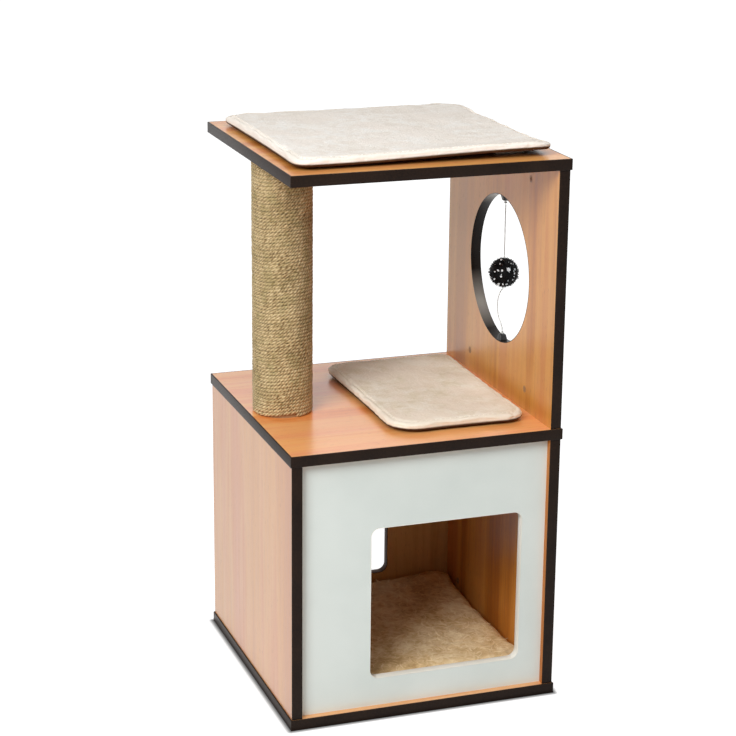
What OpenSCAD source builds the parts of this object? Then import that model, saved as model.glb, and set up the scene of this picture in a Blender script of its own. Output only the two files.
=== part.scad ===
// Cat condo: a cabin with a pass-through opening, a lounging deck, a sisal
// scratching post, an upright panel with a hanging toy, and a top platform.
// Millimetres. +Z is up, the front faces -Y, and the origin is the middle of the underside.

/* [Boards] */
// Width of the base, the deck and the top platform
board_w = 390; // [360:1:460]
// Depth of the base, the deck and the top platform
board_d = 396; // [370:1:460]
// Thickness of the base, deck, platform, side and upright boards
board_t = 15; // [13:0.5:20]
// How far the flat boards stand out past the standing boards
overhang = 2; // [0.5:0.5:6]
// Thickness of the dark edge banding
band_t = 1; // [0.5:0.1:2]

/* [Cabin] */
// Height of the cabin's side panels
cabin_h = 365; // [320:1:440]
// Thickness of the front and back panels
panel_t = 12; // [10:0.5:15]
// How far the front and back panels sit behind the side panels' edges
panel_recess = 10; // [4:1:25]
// Width of the cabin openings inside their banding
opening_w = 220; // [180:1:250]
// Height of the cabin openings inside their banding
opening_h = 220; // [180:1:250]
// Corner radius of the cabin openings
opening_r = 12; // [6:1:30]
// Board left beside the opening, on the right as seen from outside
opening_side = 35; // [20:1:60]
// Board left under the opening
opening_sill = 41; // [30:1:60]
// Thickness of the banding that lines the openings
opening_band_t = 1; // [0.5:0.1:2]

/* [Upper storey] */
// Height of the upright panel and of the scratching post
upright_h = 360; // [320:1:440]
// Diameter of the round hole inside its lining
hole_d = 212; // [160:1:230]
// Thickness of the lining of the round hole
hole_band_t = 1; // [0.5:0.1:2]

/* [Scratching post] */
// Distance from the board's left edge to the middle of the post
post_inset = 50; // [48:1:90]
// Outside diameter of the post's cardboard tube
tube_d = 75; // [60:1:85]
// Wall of the cardboard tube
tube_wall = 3.5; // [2:0.5:6]
// Thickness of the sisal winding
rope_t = 4.2; // [3:0.1:6]
// Loops of the winding
rope_loops = 24; // [12:1:24]
// Gap between neighbouring loops
rope_gap = 0.6; // [0.5:0.1:1.5]
// Thickness of the plugs in the ends of the tube
plug_t = 22; // [18:1:40]
// Thread diameter of the post's bolts
post_bolt_d = 8; // [6:1:10]
// Length of the post's bolts from the face of the board
post_bolt_l = 45; // [40:1:60]
// Diameter of the bolts' countersunk heads
post_head_d = 16; // [14:1:18]
// Width of the hexagon socket in a bolt's head, over its corners
socket_d = 6; // [4:0.5:7]
// Depth of the hexagon socket
socket_t = 3; // [2:0.5:5]
// Length of the threaded sleeves in the plugs
insert_l = 12; // [8:1:16]
// Wall of the threaded sleeves
insert_wall = 1.2; // [0.8:0.1:2]
// Diameter of the flange of a threaded sleeve
insert_flange_d = 22; // [18:1:30]
// Thickness of the flange of a threaded sleeve
insert_flange_t = 1.6; // [1:0.1:3]

/* [Fittings] */
// Diameter of the cam nuts
cam_d = 10; // [9:0.5:12]
// Distance from a board's end to the middle of its cam nuts
cam_setback = 30; // [22:1:36]
// How far a cam nut reaches past the bolt's axis
cam_past = 4; // [4:0.5:5]
// Thread diameter of the cam bolts
cam_bolt_d = 6; // [5:0.5:6.5]
// Neck diameter of the cam bolts
cam_neck_d = 4; // [3:0.5:5]
// Head diameter of the cam bolts
cam_head_d = 6; // [5:0.5:6.5]
// Head height of the cam bolts
cam_head_h = 3; // [2:0.5:4]
// Depth of the cam bolts in the flat boards
cam_grip = 10; // [8:0.5:11]
// Length of the driver slot in a cam nut
slot_l = 6; // [4:0.5:8]
// Width of the driver slot in a cam nut
slot_w = 1.2; // [0.8:0.1:2]
// Depth of the driver slot in a cam nut
slot_t = 1; // [0.5:0.1:2]
// Distance of the side panels' cam bolts from their front and back edges
side_bolt_inset = 68; // [50:1:75]
// Distance of the side panels' dowels from their front and back edges
side_dowel_inset = 114; // [110:1:140]
// Distance of the upright's cam bolts from its front and back edges
upright_bolt_inset = 94; // [86:1:98]
// Distance of the upright's dowels from its front and back edges
upright_dowel_inset = 32; // [22:1:38]
// Diameter of the dowels in the side panels and the upright
dowel_d = 8; // [6:1:8]
// Length of those dowels
dowel_l = 30; // [24:1:40]
// Depth of those dowels in the flat boards
dowel_grip = 10; // [8:0.5:11]
// Diameter of the dowels in the front and back panels
panel_dowel_d = 6; // [5:0.5:6]
// Length of the dowels in the front and back panels
panel_dowel_l = 24; // [20:1:30]
// Depth of those dowels in the base and the deck
panel_dowel_grip = 8; // [6:0.5:11]
// Distance of those dowels from the panels' side edges
panel_dowel_inset = 48; // [30:1:60]

/* [Cushions] */
// Width of the top cushion
top_cushion_w = 362; // [300:1:366]
// Depth of the top cushion
top_cushion_d = 356; // [300:1:366]
// Width of the deck cushion
deck_cushion_w = 202; // [160:1:210]
// Depth of the deck cushion
deck_cushion_d = 314; // [260:1:330]
// How far the deck cushion lies forward of the middle
deck_cushion_forward = 4; // [0:1:20]
// Gap between the deck cushion and the upright panel
deck_cushion_gap = 14; // [4:1:20]
// Thickness of the top and deck cushions
mat_t = 12; // [8:0.5:16]
// Corner radius of the top cushion
top_cushion_r = 24; // [15:1:50]
// Corner radius of the deck cushion
deck_cushion_r = 38; // [20:1:60]
// Gap between the cabin cushion and the cabin's walls
cabin_cushion_gap = 3; // [1:0.5:10]
// Thickness of the cabin cushion
cabin_cushion_t = 30; // [20:1:35]
// Corner radius of the cabin cushion
cabin_cushion_r = 24; // [10:1:40]
// How far a cushion's sides are drawn in between its corners
draw_in = 3; // [1:0.5:6]
// Length of a hook or loop pad under a cushion
pad_l = 40; // [20:1:50]
// Width of a hook or loop pad
pad_w = 20; // [10:1:30]
// Thickness of a hook or loop pad
pad_t = 1.4; // [1:0.1:2]
// Distance of the pads from the cushion's edges
pad_inset = 34; // [30:1:50]

/* [Hanging toy] */
// Diameter of the toy ball
ball_d = 43; // [30:1:50]
// Distance from the string's upper knot to the middle of the ball
ball_drop = 102; // [85:1:115]
// Diameter of the string
string_d = 1.5; // [1:0.1:2]
// Diameter of the string's knots
knot_d = 5; // [4:0.5:7]
// Width of a string clip, along the rim of the hole
clip_w = 12; // [8:1:16]
// Length of a string clip, through the hole
clip_l = 13; // [9:0.5:13]
// Height of a string clip above the rim
clip_h = 8; // [6:0.5:10]
// Diameter of a clip's peg
peg_d = 4; // [3:0.5:5]
// Length of a clip's peg in the upright panel
peg_l = 9; // [6:1:12]

/* [Clearances] */
// Clearance round driven, glued and threaded pieces
fit = 0.1; // [0.05:0.05:0.2]
// Gap under a piece that lifts off or swings
soft_gap = 0.3; // [0.2:0.05:0.5]

/* [Hidden] */
$fn = 64;

// Finishes
wood = [0.80, 0.56, 0.38];
dark_band = [0.16, 0.12, 0.10];
pale_panel = [0.84, 0.87, 0.84];
pale_band = [0.93, 0.93, 0.88];
steel = [0.70, 0.70, 0.72];
beech = [0.86, 0.74, 0.55];
card = [0.72, 0.60, 0.44];
sisal = [0.74, 0.64, 0.44];
cream = [0.95, 0.92, 0.87];
beige = [0.85, 0.79, 0.70];
black = [0.06, 0.06, 0.06];
string_grey = [0.80, 0.80, 0.78];

// Levels of the flat boards
base_top = board_t;
deck_bottom = base_top + cabin_h;
deck_top = deck_bottom + board_t;
platform_bottom = deck_top + upright_h;
platform_top = platform_bottom + board_t;

// Faces of the standing boards
side_outer = board_w / 2 - overhang;
side_inner = side_outer - board_t;
side_mid = side_outer - board_t / 2;
side_end = board_d / 2 - overhang;
panel_outer = side_end - panel_recess;
panel_inner = panel_outer - panel_t;

// Opening of the front panel: its middle, as seen from outside
opening_x = side_inner - opening_side - opening_w / 2;
opening_z = base_top + opening_sill + opening_h / 2;

// Round hole, post and cushions
hole_z = deck_top + upright_h / 2;
rim_r = hole_d / 2;
rim_facets = 128;
post_x = post_inset - board_w / 2;
tube_r = tube_d / 2;
plug_d = tube_d - 2 * tube_wall - 2 * fit;
bolt_bore_d = post_bolt_d + 2 * fit;
plug_bore_d = bolt_bore_d + 2 * fit;
insert_d = bolt_bore_d + 2 * insert_wall;
head_cone_h = (post_head_d - post_bolt_d) / 2;
deck_cushion_x = side_inner - deck_cushion_gap - deck_cushion_w / 2;
mat_lift = 2 * pad_t + soft_gap;
cabin_cushion_w = 2 * (side_inner - cabin_cushion_gap);
cabin_cushion_d = 2 * (panel_inner - cabin_cushion_gap);

// Cam fittings
cam_l = board_t / 2 + cam_past;
cam_bore_d = cam_head_d + 2 * fit;
// Depth that a hole has to spare
hole_spare = 0.4;

// Hanging toy
string_sides = 8;
upper_knot_z = hole_z + rim_r - clip_h - soft_gap - knot_d / 2;
ball_z = upper_knot_z - ball_drop;
lower_knot_z = hole_z - rim_r + clip_h + knot_d / 2;

// Route of the string above the ball
upper_route = [
  [185.5, 0, 667.4], [185.5, 0, 664], [185.5, 0, 660], [185.5, 0, 655], [185.5, 0, 650],
  [185.5, 0, 645], [185.5, 0, 640], [185.5, 0, 635], [185.5, 0, 630], [185.5, 0, 625],
  [185.5, 0, 620], [185.5, 0, 615], [185.5, 0, 610], [185.5, 0, 605], [185.5, 0, 600],
  [185.5, 0, 595], [185.5, 0, 589.7]
];
// Route of the slack string below the ball, down to where it turns back
slack_top_route = [
  [185.5, 0, 546.4], [185.5, 0.2, 543.5], [185.1, 1.4, 540.5], [184.4, 3.6, 537], [183.6, 6.2, 533.5],
  [182.9, 8.6, 530], [182.2, 10.9, 525.5], [182, 11.5, 521], [182, 11.5, 517]
];
// Route of the slack string from there to its lower knot
slack_end_route = [
  [182, 11.5, 517], [182, 11.5, 513], [182.2, 11, 508.5], [182.6, 9.8, 504], [183.2, 8, 499.5],
  [183.9, 5.8, 495.5], [184.6, 3.4, 491.5], [185.1, 1.5, 488], [185.4, 0.3, 485], [185.5, 0, 482.2]
];

// Winding: rings in a loop, and its section in height
loop_rings = 24;
ring_step = 360 / loop_rings;
rope_inner = (tube_r + fit) / cos(ring_step / 2);
rope_outer = rope_inner + rope_t;
rope_mid = (rope_inner + rope_outer) / 2;
rope_pitch = (upright_h - 2 * soft_gap + rope_gap) / (rope_loops + 1);
rope_h = rope_pitch - rope_gap;
rope_start_z = deck_top + soft_gap + rope_h / 2;
rope_shoulder = 0.6;
// Section of the winding: radius from its middle, and height
rope_section = [
  [rope_t / 2, -rope_h / 2 * rope_shoulder], [rope_t / 2, rope_h / 2 * rope_shoulder], [0, rope_h / 2],
  [-rope_t / 2, rope_h / 2 * rope_shoulder], [-rope_t / 2, -rope_h / 2 * rope_shoulder], [0, -rope_h / 2]
];

// Cushion outline: steps round a corner and along a side
corner_steps = 5;
side_steps = 5;
// Cushion section: share of the outline's size, and share of the thickness
cushion_section = [[0.94, 0], [1, 0.40], [0.985, 0.72], [0.93, 0.88], [0.70, 0.96], [0.35, 0.99]];

// Triangles of a tube of rings with n points each, with closed ends
function tube_faces(rings, n) = concat(
  [for (i = [0:rings - 2], j = [0:n - 1]) [i * n + j, (i + 1) * n + (j + 1) % n, i * n + (j + 1) % n]],
  [for (i = [0:rings - 2], j = [0:n - 1]) [i * n + j, (i + 1) * n + j, (i + 1) * n + (j + 1) % n]],
  [for (j = [1:n - 2]) [0, j, j + 1]],
  [for (j = [1:n - 2]) [(rings - 1) * n, (rings - 1) * n + j + 1, (rings - 1) * n + j]]
);

// Direction of a route at its point i
function route_dir(route, i) =
  let (a = route[max(i - 1, 0)], b = route[min(i + 1, len(route) - 1)]) (b - a) / norm(b - a);

// Ring of points round point i of a route that runs downwards
function route_ring(route, i, d, n) =
  let (t = route_dir(route, i), u0 = cross(t, [0, 1, 0]), u = u0 / norm(u0), v = cross(t, u))
  [for (j = [0:n - 1]) route[i] + d / 2 * (cos(360 * j / n) * u + sin(360 * j / n) * v)];

// Ring i of the winding, counted in ring steps from its start
function rope_ring(i) =
  let (a = i * ring_step, z = rope_start_z + i * rope_pitch / loop_rings)
  [for (p = rope_section) [(rope_mid + p[0]) * cos(a), (rope_mid + p[0]) * sin(a), z + p[1]]];

// Ring of the winding's straight end, one rope thickness on from ring i
function rope_end(i, side) =
  let (a = i * ring_step) [for (p = rope_ring(i)) p + side * rope_t * [-sin(a), cos(a), 0]];

rope_rings = rope_loops * loop_rings;
rope_points = [
  each rope_end(0, -1),
  for (i = [0:rope_rings]) each rope_ring(i),
  each rope_end(rope_rings, 1)
];
// Least distance between the points of neighbouring loops
rope_self_gap = min([
  for (i = [0:rope_rings - loop_rings], p = rope_ring(i), q = rope_ring(i + loop_rings)) norm(p - q)
]);
echo(rope_self_gap = rope_self_gap);

// Centre of corner q of a rounded rectangle
function corner_centre(q, w, d, r) =
  [cos(90 * q + 45) > 0 ? w / 2 - r : r - w / 2, sin(90 * q + 45) > 0 ? d / 2 - r : r - d / 2];

// Point at angle a of corner q
function corner_point(q, a, w, d, r) = corner_centre(q, w, d, r) + r * [cos(90 * q + a), sin(90 * q + a)];

// Point j of corner q and of the side that follows it
function outline_point(q, j, w, d, r) =
  j <= corner_steps
  ? corner_point(q, 90 * j / corner_steps, w, d, r)
  : let (k = (j - corner_steps) / side_steps)
    (1 - k) * corner_point(q, 90, w, d, r) + k * corner_point(q + 1, 0, w, d, r);

// The same point with the sides drawn in between the corners
function drawn_point(p, w, d) = [
  p[0] * (1 - 2 * draw_in / w * (1 - pow(2 * p[1] / d, 2))),
  p[1] * (1 - 2 * draw_in / d * (1 - pow(2 * p[0] / w, 2)))
];

// Outline of a cushion
function cushion_outline(w, d, r) = [
  for (q = [0:3], j = [0:corner_steps + side_steps - 1]) drawn_point(outline_point(q, j, w, d, r), w, d)
];

// Rounded rectangle about the origin
module rounded_rect(w, h, r) {
  square([w - 2 * r, h], center = true);
  square([w, h - 2 * r], center = true);
  for (x = [-1, 1], y = [-1, 1])
    translate([x * (w / 2 - r), y * (h / 2 - r)])
      circle(r);
}

// Flat board inside its edge banding, with its underside at z
module flat_board(z) {
  translate([band_t - board_w / 2, band_t - board_d / 2, z])
    cube([board_w - 2 * band_t, board_d - 2 * band_t, board_t]);
}

// Four strips of edge banding round a flat board
module flat_board_band(z) {
  for (s = [-1, 1]) {
    translate([0, s * (board_d - band_t) / 2, z + board_t / 2])
      cube([board_w, band_t, board_t], center = true);
    translate([s * (board_w - band_t) / 2, 0, z + board_t / 2])
      cube([band_t, board_d - 2 * band_t - 2 * fit, board_t], center = true);
  }
}

// Standing board of height h inside its edge banding, on the right-hand side
module standing_board(z, h) {
  translate([side_inner, band_t - side_end, z])
    cube([board_t, 2 * (side_end - band_t), h]);
}

// Banding on the front and back edges of a standing board
module standing_board_band(z, h) {
  for (s = [-1, 1])
    translate([side_mid, s * (side_end - band_t / 2), z + h / 2])
      cube([board_t, band_t, h], center = true);
}

// Puts children, which rise from a joint, at both ends of a right-hand standing board
module at_ends(z_low, z_high, inset) {
  for (s = [-1, 1]) {
    translate([side_mid, s * (side_end - inset), z_low])
      children();
    translate([side_mid, s * (side_end - inset), z_high])
      mirror([0, 0, 1])
        children();
  }
}

// Puts children at both ends of both side panels
module at_side_ends(inset) {
  for (m = [0, 1])
    mirror([m, 0, 0])
      at_ends(base_top, deck_bottom, inset)
        children();
}

// Puts children at both ends of the upright panel
module at_upright_ends(inset) {
  at_ends(deck_top, platform_bottom, inset)
    children();
}

// Puts children at the dowels of the front and back panels
module at_panel_dowels() {
  for (x = [-1, 1], y = [-1, 1])
    translate([x * (side_inner - panel_dowel_inset), y * (panel_outer + panel_inner) / 2, 0]) {
      translate([0, 0, base_top])
        children();
      translate([0, 0, deck_bottom])
        mirror([0, 0, 1])
          children();
    }
}

// Cam bolt that rises from a joint: thread, neck and head
module cam_bolt() {
  translate([0, 0, -cam_grip])
    cylinder(d = cam_bolt_d, h = cam_grip);
  cylinder(d = cam_neck_d, h = cam_setback);
  translate([0, 0, cam_setback - cam_head_h / 2])
    cylinder(d = cam_head_d, h = cam_head_h);
}

// Hole for a cam bolt, in the flat board and in the standing board
module cam_bolt_hole() {
  translate([0, 0, -cam_grip - hole_spare])
    cylinder(d = cam_bolt_d + 2 * fit, h = cam_grip + hole_spare);
  cylinder(d = cam_bore_d, h = cam_setback + cam_head_h / 2 + fit);
}

// Cam nut that takes the bolt's head, with a cross slot in the inner face
module cam_nut() {
  difference() {
    translate([-board_t / 2, 0, cam_setback])
      rotate([0, 90, 0])
        cylinder(d = cam_d, h = cam_l);
    translate([0, 0, cam_setback - cam_d])
      cylinder(d = cam_bore_d, h = cam_d + cam_head_h / 2 + fit);
    for (a = [0, 90])
      translate([-board_t / 2, 0, cam_setback])
        rotate([a, 0, 0])
          cube([2 * slot_t, slot_w, slot_l], center = true);
  }
}

// Pocket for a cam nut
module cam_pocket() {
  translate([-board_t / 2, 0, cam_setback])
    rotate([0, 90, 0])
      cylinder(d = cam_d + 2 * fit, h = cam_l + fit);
}

// Dowel that rises from a joint, sunk to the given depth
module dowel(d, l, grip) {
  translate([0, 0, -grip])
    cylinder(d = d, h = l);
}

// Hole for such a dowel
module dowel_hole(d, l, grip) {
  translate([0, 0, -grip - hole_spare])
    cylinder(d = d + 2 * fit, h = l + 2 * hole_spare);
}

// All holes for the fittings of the side panels
module side_holes() {
  at_side_ends(side_bolt_inset)
    cam_bolt_hole();
  at_side_ends(side_dowel_inset)
    dowel_hole(dowel_d, dowel_l, dowel_grip);
}

// All holes for the fittings of the upright panel
module upright_holes() {
  at_upright_ends(upright_bolt_inset)
    cam_bolt_hole();
  at_upright_ends(upright_dowel_inset)
    dowel_hole(dowel_d, dowel_l, dowel_grip);
}

// Holes for the dowels of the front and back panels
module panel_holes() {
  at_panel_dowels()
    dowel_hole(panel_dowel_d, panel_dowel_l, panel_dowel_grip);
}

// Countersunk hole for a post bolt that goes up from the face at z
module post_bolt_hole(z) {
  translate([post_x, 0, z])
    cylinder(d = bolt_bore_d, h = board_t);
  translate([post_x, 0, z])
    cylinder(d1 = post_head_d + 2 * fit, d2 = bolt_bore_d, h = head_cone_h);
}

// Countersunk bolt with a hexagon socket, going up from z = 0
module post_bolt() {
  difference() {
    union() {
      cylinder(d = post_bolt_d, h = post_bolt_l);
      cylinder(d1 = post_head_d, d2 = post_bolt_d, h = head_cone_h);
    }
    cylinder(d = socket_d, h = 2 * socket_t, center = true, $fn = 6);
  }
}

// Plug for the lower end of the post's tube, bored for its threaded sleeve
module post_plug() {
  difference() {
    cylinder(d = plug_d, h = plug_t);
    translate([0, 0, -fit])
      cylinder(d = plug_bore_d, h = plug_t + 2 * fit);
    translate([0, 0, plug_t - insert_l - fit])
      cylinder(d = insert_d + 2 * fit, h = insert_l + 2 * fit);
  }
}

// Threaded sleeve with its flange on the plug's inner face
module post_insert() {
  difference() {
    union() {
      translate([0, 0, plug_t - insert_l])
        cylinder(d = insert_d, h = insert_l + insert_flange_t);
      translate([0, 0, plug_t])
        cylinder(d = insert_flange_d, h = insert_flange_t);
    }
    translate([0, 0, plug_t - insert_l - fit])
      cylinder(d = bolt_bore_d, h = insert_l + insert_flange_t + 2 * fit);
  }
}

// Puts children, drawn upwards from z = 0, at the lower end of the post
module at_post_foot() {
  translate([post_x, 0, deck_top])
    children();
}

// Puts children, drawn upwards from z = 0, upside down at the upper end of the post
module at_post_head() {
  translate([post_x, 0, platform_bottom])
    mirror([0, 0, 1])
      children();
}

// Panel with an opening, between the side panels, facing -Y
module opening_panel() {
  translate([0, -panel_inner, 0])
    rotate([90, 0, 0])
      linear_extrude(panel_t)
        difference() {
          translate([-side_inner, base_top])
            square([2 * side_inner, cabin_h]);
          translate([opening_x, opening_z])
            rounded_rect(opening_w + 2 * opening_band_t, opening_h + 2 * opening_band_t,
                         opening_r + opening_band_t);
        }
}

// Banding that lines the opening of such a panel
module opening_band() {
  translate([opening_x, -panel_inner, opening_z])
    rotate([90, 0, 0])
      linear_extrude(panel_t)
        difference() {
          rounded_rect(opening_w + 2 * opening_band_t, opening_h + 2 * opening_band_t,
                       opening_r + opening_band_t);
          rounded_rect(opening_w, opening_h, opening_r);
        }
}

// Cylinder through the upright panel about the middle of its round hole
module through_upright(r) {
  translate([side_inner - hole_spare, 0, hole_z])
    rotate([0, 90, 0])
      cylinder(r = r, h = board_t + 2 * hole_spare, $fn = rim_facets);
}

// Holes for the pegs of the two string clips
module peg_holes() {
  translate([side_mid, 0, hole_z - rim_r - peg_l - hole_spare])
    cylinder(d = peg_d + 2 * fit, h = 2 * (rim_r + peg_l + hole_spare));
}

// Clip seated on the upper rim of the round hole, with its peg
module string_clip() {
  intersection() {
    translate([side_mid - clip_l / 2, -clip_w / 2, hole_z + rim_r - clip_h])
      cube([clip_l, clip_w, clip_h]);
    through_upright(rim_r - fit);
  }
  translate([side_mid, 0, hole_z + rim_r - clip_h / 2])
    cylinder(d = peg_d, h = clip_h / 2 + peg_l);
}

// Soft pad with a crowned top, drawn-in sides and a flat seat at z = 0
module cushion(w, d, t, r) {
  outline = cushion_outline(w, d, r);
  n = len(outline);
  rings = len(cushion_section);
  points = [
    for (s = cushion_section, p = outline) [s[0] * p[0], s[0] * p[1], s[1] * t],
    [0, 0, 0],
    [0, 0, t]
  ];
  faces = concat(
    [for (i = [0:rings - 2], j = [0:n - 1]) [i * n + j, (i + 1) * n + (j + 1) % n, i * n + (j + 1) % n]],
    [for (i = [0:rings - 2], j = [0:n - 1]) [i * n + j, (i + 1) * n + j, (i + 1) * n + (j + 1) % n]],
    [for (j = [0:n - 1]) [rings * n, j, (j + 1) % n]],
    [for (j = [0:n - 1]) [rings * n + 1, (rings - 1) * n + (j + 1) % n, (rings - 1) * n + j]]
  );
  polyhedron(points, faces);
}

// Four hook or loop pads near the corners of a cushion of size w by d
module corner_pads(w, d) {
  for (x = [-1, 1], y = [-1, 1])
    translate([x * (w / 2 - pad_inset - pad_l / 2), y * (d / 2 - pad_inset - pad_w / 2), pad_t / 2])
      cube([pad_l, pad_w, pad_t], center = true);
}

// String along a route
module string_tube(route) {
  polyhedron(
    [for (i = [0:len(route) - 1]) each route_ring(route, i, string_d, string_sides)],
    tube_faces(len(route), string_sides)
  );
}

module base_panel() {
  color(wood)
    difference() {
      flat_board(0);
      side_holes();
      panel_holes();
    }
}

module base_edge_band() {
  color(dark_band)
    flat_board_band(0);
}

module right_side_panel() {
  color(wood)
    difference() {
      standing_board(base_top, cabin_h);
      side_holes();
      at_side_ends(side_bolt_inset)
        cam_pocket();
    }
}

module right_side_edge_band() {
  color(dark_band)
    standing_board_band(base_top, cabin_h);
}

module left_side_panel() {
  color(wood)
    mirror([1, 0, 0])
      right_side_panel();
}

module left_side_edge_band() {
  color(dark_band)
    mirror([1, 0, 0])
      right_side_edge_band();
}

module front_panel() {
  color(pale_panel)
    difference() {
      opening_panel();
      panel_holes();
    }
}

module front_opening_band() {
  color(pale_band)
    opening_band();
}

module back_panel() {
  color(wood)
    difference() {
      rotate([0, 0, 180])
        opening_panel();
      panel_holes();
    }
}

module back_opening_band() {
  color(dark_band)
    rotate([0, 0, 180])
      opening_band();
}

module deck_panel() {
  color(wood)
    difference() {
      flat_board(deck_bottom);
      side_holes();
      upright_holes();
      panel_holes();
      post_bolt_hole(deck_bottom);
    }
}

module deck_edge_band() {
  color(dark_band)
    flat_board_band(deck_bottom);
}

module upright_panel() {
  color(wood)
    difference() {
      standing_board(deck_top, upright_h);
      upright_holes();
      at_upright_ends(upright_bolt_inset)
        cam_pocket();
      through_upright(rim_r + hole_band_t);
      peg_holes();
    }
}

module upright_edge_band() {
  color(dark_band)
    standing_board_band(deck_top, upright_h);
}

module upright_hole_band() {
  color(dark_band)
    difference() {
      intersection() {
        through_upright(rim_r + hole_band_t);
        standing_board(deck_top, upright_h);
      }
      through_upright(rim_r);
      peg_holes();
    }
}

module top_platform() {
  color(wood)
    difference() {
      flat_board(platform_bottom);
      upright_holes();
      translate([0, 0, platform_top])
        mirror([0, 0, 1])
          post_bolt_hole(0);
    }
}

module platform_edge_band() {
  color(dark_band)
    flat_board_band(platform_bottom);
}

module post_tube() {
  color(card)
    at_post_foot()
      difference() {
        cylinder(d = tube_d, h = upright_h);
        translate([0, 0, -fit])
          cylinder(d = tube_d - 2 * tube_wall, h = upright_h + 2 * fit);
      }
}

module post_bottom_plug() {
  color(beech)
    at_post_foot()
      post_plug();
}

module post_top_plug() {
  color(beech)
    at_post_head()
      post_plug();
}

module post_inserts() {
  color(steel) {
    at_post_foot()
      post_insert();
    at_post_head()
      post_insert();
  }
}

module post_bottom_bolt() {
  color(steel)
    translate([post_x, 0, deck_bottom])
      post_bolt();
}

module post_top_bolt() {
  color(steel)
    translate([post_x, 0, platform_top])
      mirror([0, 0, 1])
        post_bolt();
}

module sisal_rope() {
  color(sisal)
    translate([post_x, 0, 0])
      polyhedron(rope_points, tube_faces(rope_rings + 3, len(rope_section)));
}

module side_cam_nuts() {
  color(steel)
    at_side_ends(side_bolt_inset)
      cam_nut();
}

module side_cam_bolts() {
  color(steel)
    at_side_ends(side_bolt_inset)
      cam_bolt();
}

module side_dowels() {
  color(beech)
    at_side_ends(side_dowel_inset)
      dowel(dowel_d, dowel_l, dowel_grip);
}

module upright_cam_nuts() {
  color(steel)
    at_upright_ends(upright_bolt_inset)
      cam_nut();
}

module upright_cam_bolts() {
  color(steel)
    at_upright_ends(upright_bolt_inset)
      cam_bolt();
}

module upright_dowels() {
  color(beech)
    at_upright_ends(upright_dowel_inset)
      dowel(dowel_d, dowel_l, dowel_grip);
}

module panel_dowels() {
  color(beech)
    at_panel_dowels()
      dowel(panel_dowel_d, panel_dowel_l, panel_dowel_grip);
}

module top_cushion() {
  color(cream)
    translate([0, 0, platform_top + mat_lift])
      cushion(top_cushion_w, top_cushion_d, mat_t, top_cushion_r);
}

module top_loop_pads() {
  color(cream)
    translate([0, 0, platform_top + pad_t + soft_gap])
      corner_pads(top_cushion_w, top_cushion_d);
}

module top_hook_pads() {
  color(beige)
    translate([0, 0, platform_top])
      corner_pads(top_cushion_w, top_cushion_d);
}

module deck_cushion() {
  color(beige)
    translate([deck_cushion_x, -deck_cushion_forward, deck_top + mat_lift])
      cushion(deck_cushion_w, deck_cushion_d, mat_t, deck_cushion_r);
}

module deck_loop_pads() {
  color(cream)
    translate([deck_cushion_x, -deck_cushion_forward, deck_top + pad_t + soft_gap])
      corner_pads(deck_cushion_w, deck_cushion_d);
}

module deck_hook_pads() {
  color(beige)
    translate([deck_cushion_x, -deck_cushion_forward, deck_top])
      corner_pads(deck_cushion_w, deck_cushion_d);
}

module cabin_cushion() {
  color(beige)
    translate([0, 0, base_top + soft_gap])
      cushion(cabin_cushion_w, cabin_cushion_d, cabin_cushion_t, cabin_cushion_r);
}

module upper_string_clip() {
  color(black)
    string_clip();
}

module lower_string_clip() {
  color(black)
    translate([0, 0, 2 * hole_z])
      mirror([0, 0, 1])
        string_clip();
}

module upper_knot() {
  color(string_grey)
    translate([side_mid, 0, upper_knot_z])
      sphere(d = knot_d);
}

module lower_knot() {
  color(string_grey)
    translate([side_mid, 0, lower_knot_z])
      sphere(d = knot_d);
}

module upper_string() {
  color(string_grey)
    string_tube(upper_route);
}

module toy_ball() {
  color(black)
    translate([side_mid, 0, ball_z])
      sphere(d = ball_d);
}

module lower_string_top() {
  color(string_grey)
    string_tube(slack_top_route);
}

module lower_string_end() {
  color(string_grey)
    string_tube(slack_end_route);
}

base_panel();
base_edge_band();
left_side_panel();
left_side_edge_band();
right_side_panel();
right_side_edge_band();
front_panel();
front_opening_band();
back_panel();
back_opening_band();
deck_panel();
deck_edge_band();
upright_panel();
upright_edge_band();
upright_hole_band();
top_platform();
platform_edge_band();
post_tube();
post_top_plug();
post_bottom_plug();
post_inserts();
post_top_bolt();
post_bottom_bolt();
sisal_rope();
side_cam_nuts();
side_cam_bolts();
side_dowels();
upright_cam_nuts();
upright_cam_bolts();
upright_dowels();
panel_dowels();
top_cushion();
top_loop_pads();
top_hook_pads();
deck_cushion();
deck_loop_pads();
deck_hook_pads();
cabin_cushion();
upper_string_clip();
lower_string_clip();
upper_knot();
lower_knot();
upper_string();
toy_ball();
lower_string_top();
lower_string_end();
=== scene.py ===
"""Looks of a cat condo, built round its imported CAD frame.

The boards and the hidden fittings keep their CAD solids and get new finishes. The edge banding,
linings, rope, cushions, clips and hanging toy are modelled here and stand for their solids.
"""

import sys
import logging
import math
import random
from collections.abc import Callable, Iterator, Sequence
from contextlib import contextmanager
from dataclasses import dataclass, field
from enum import Enum

import bpy
import numpy as np
from mathutils import Matrix, Vector, noise
from mathutils.bvhtree import BVHTree


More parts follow.
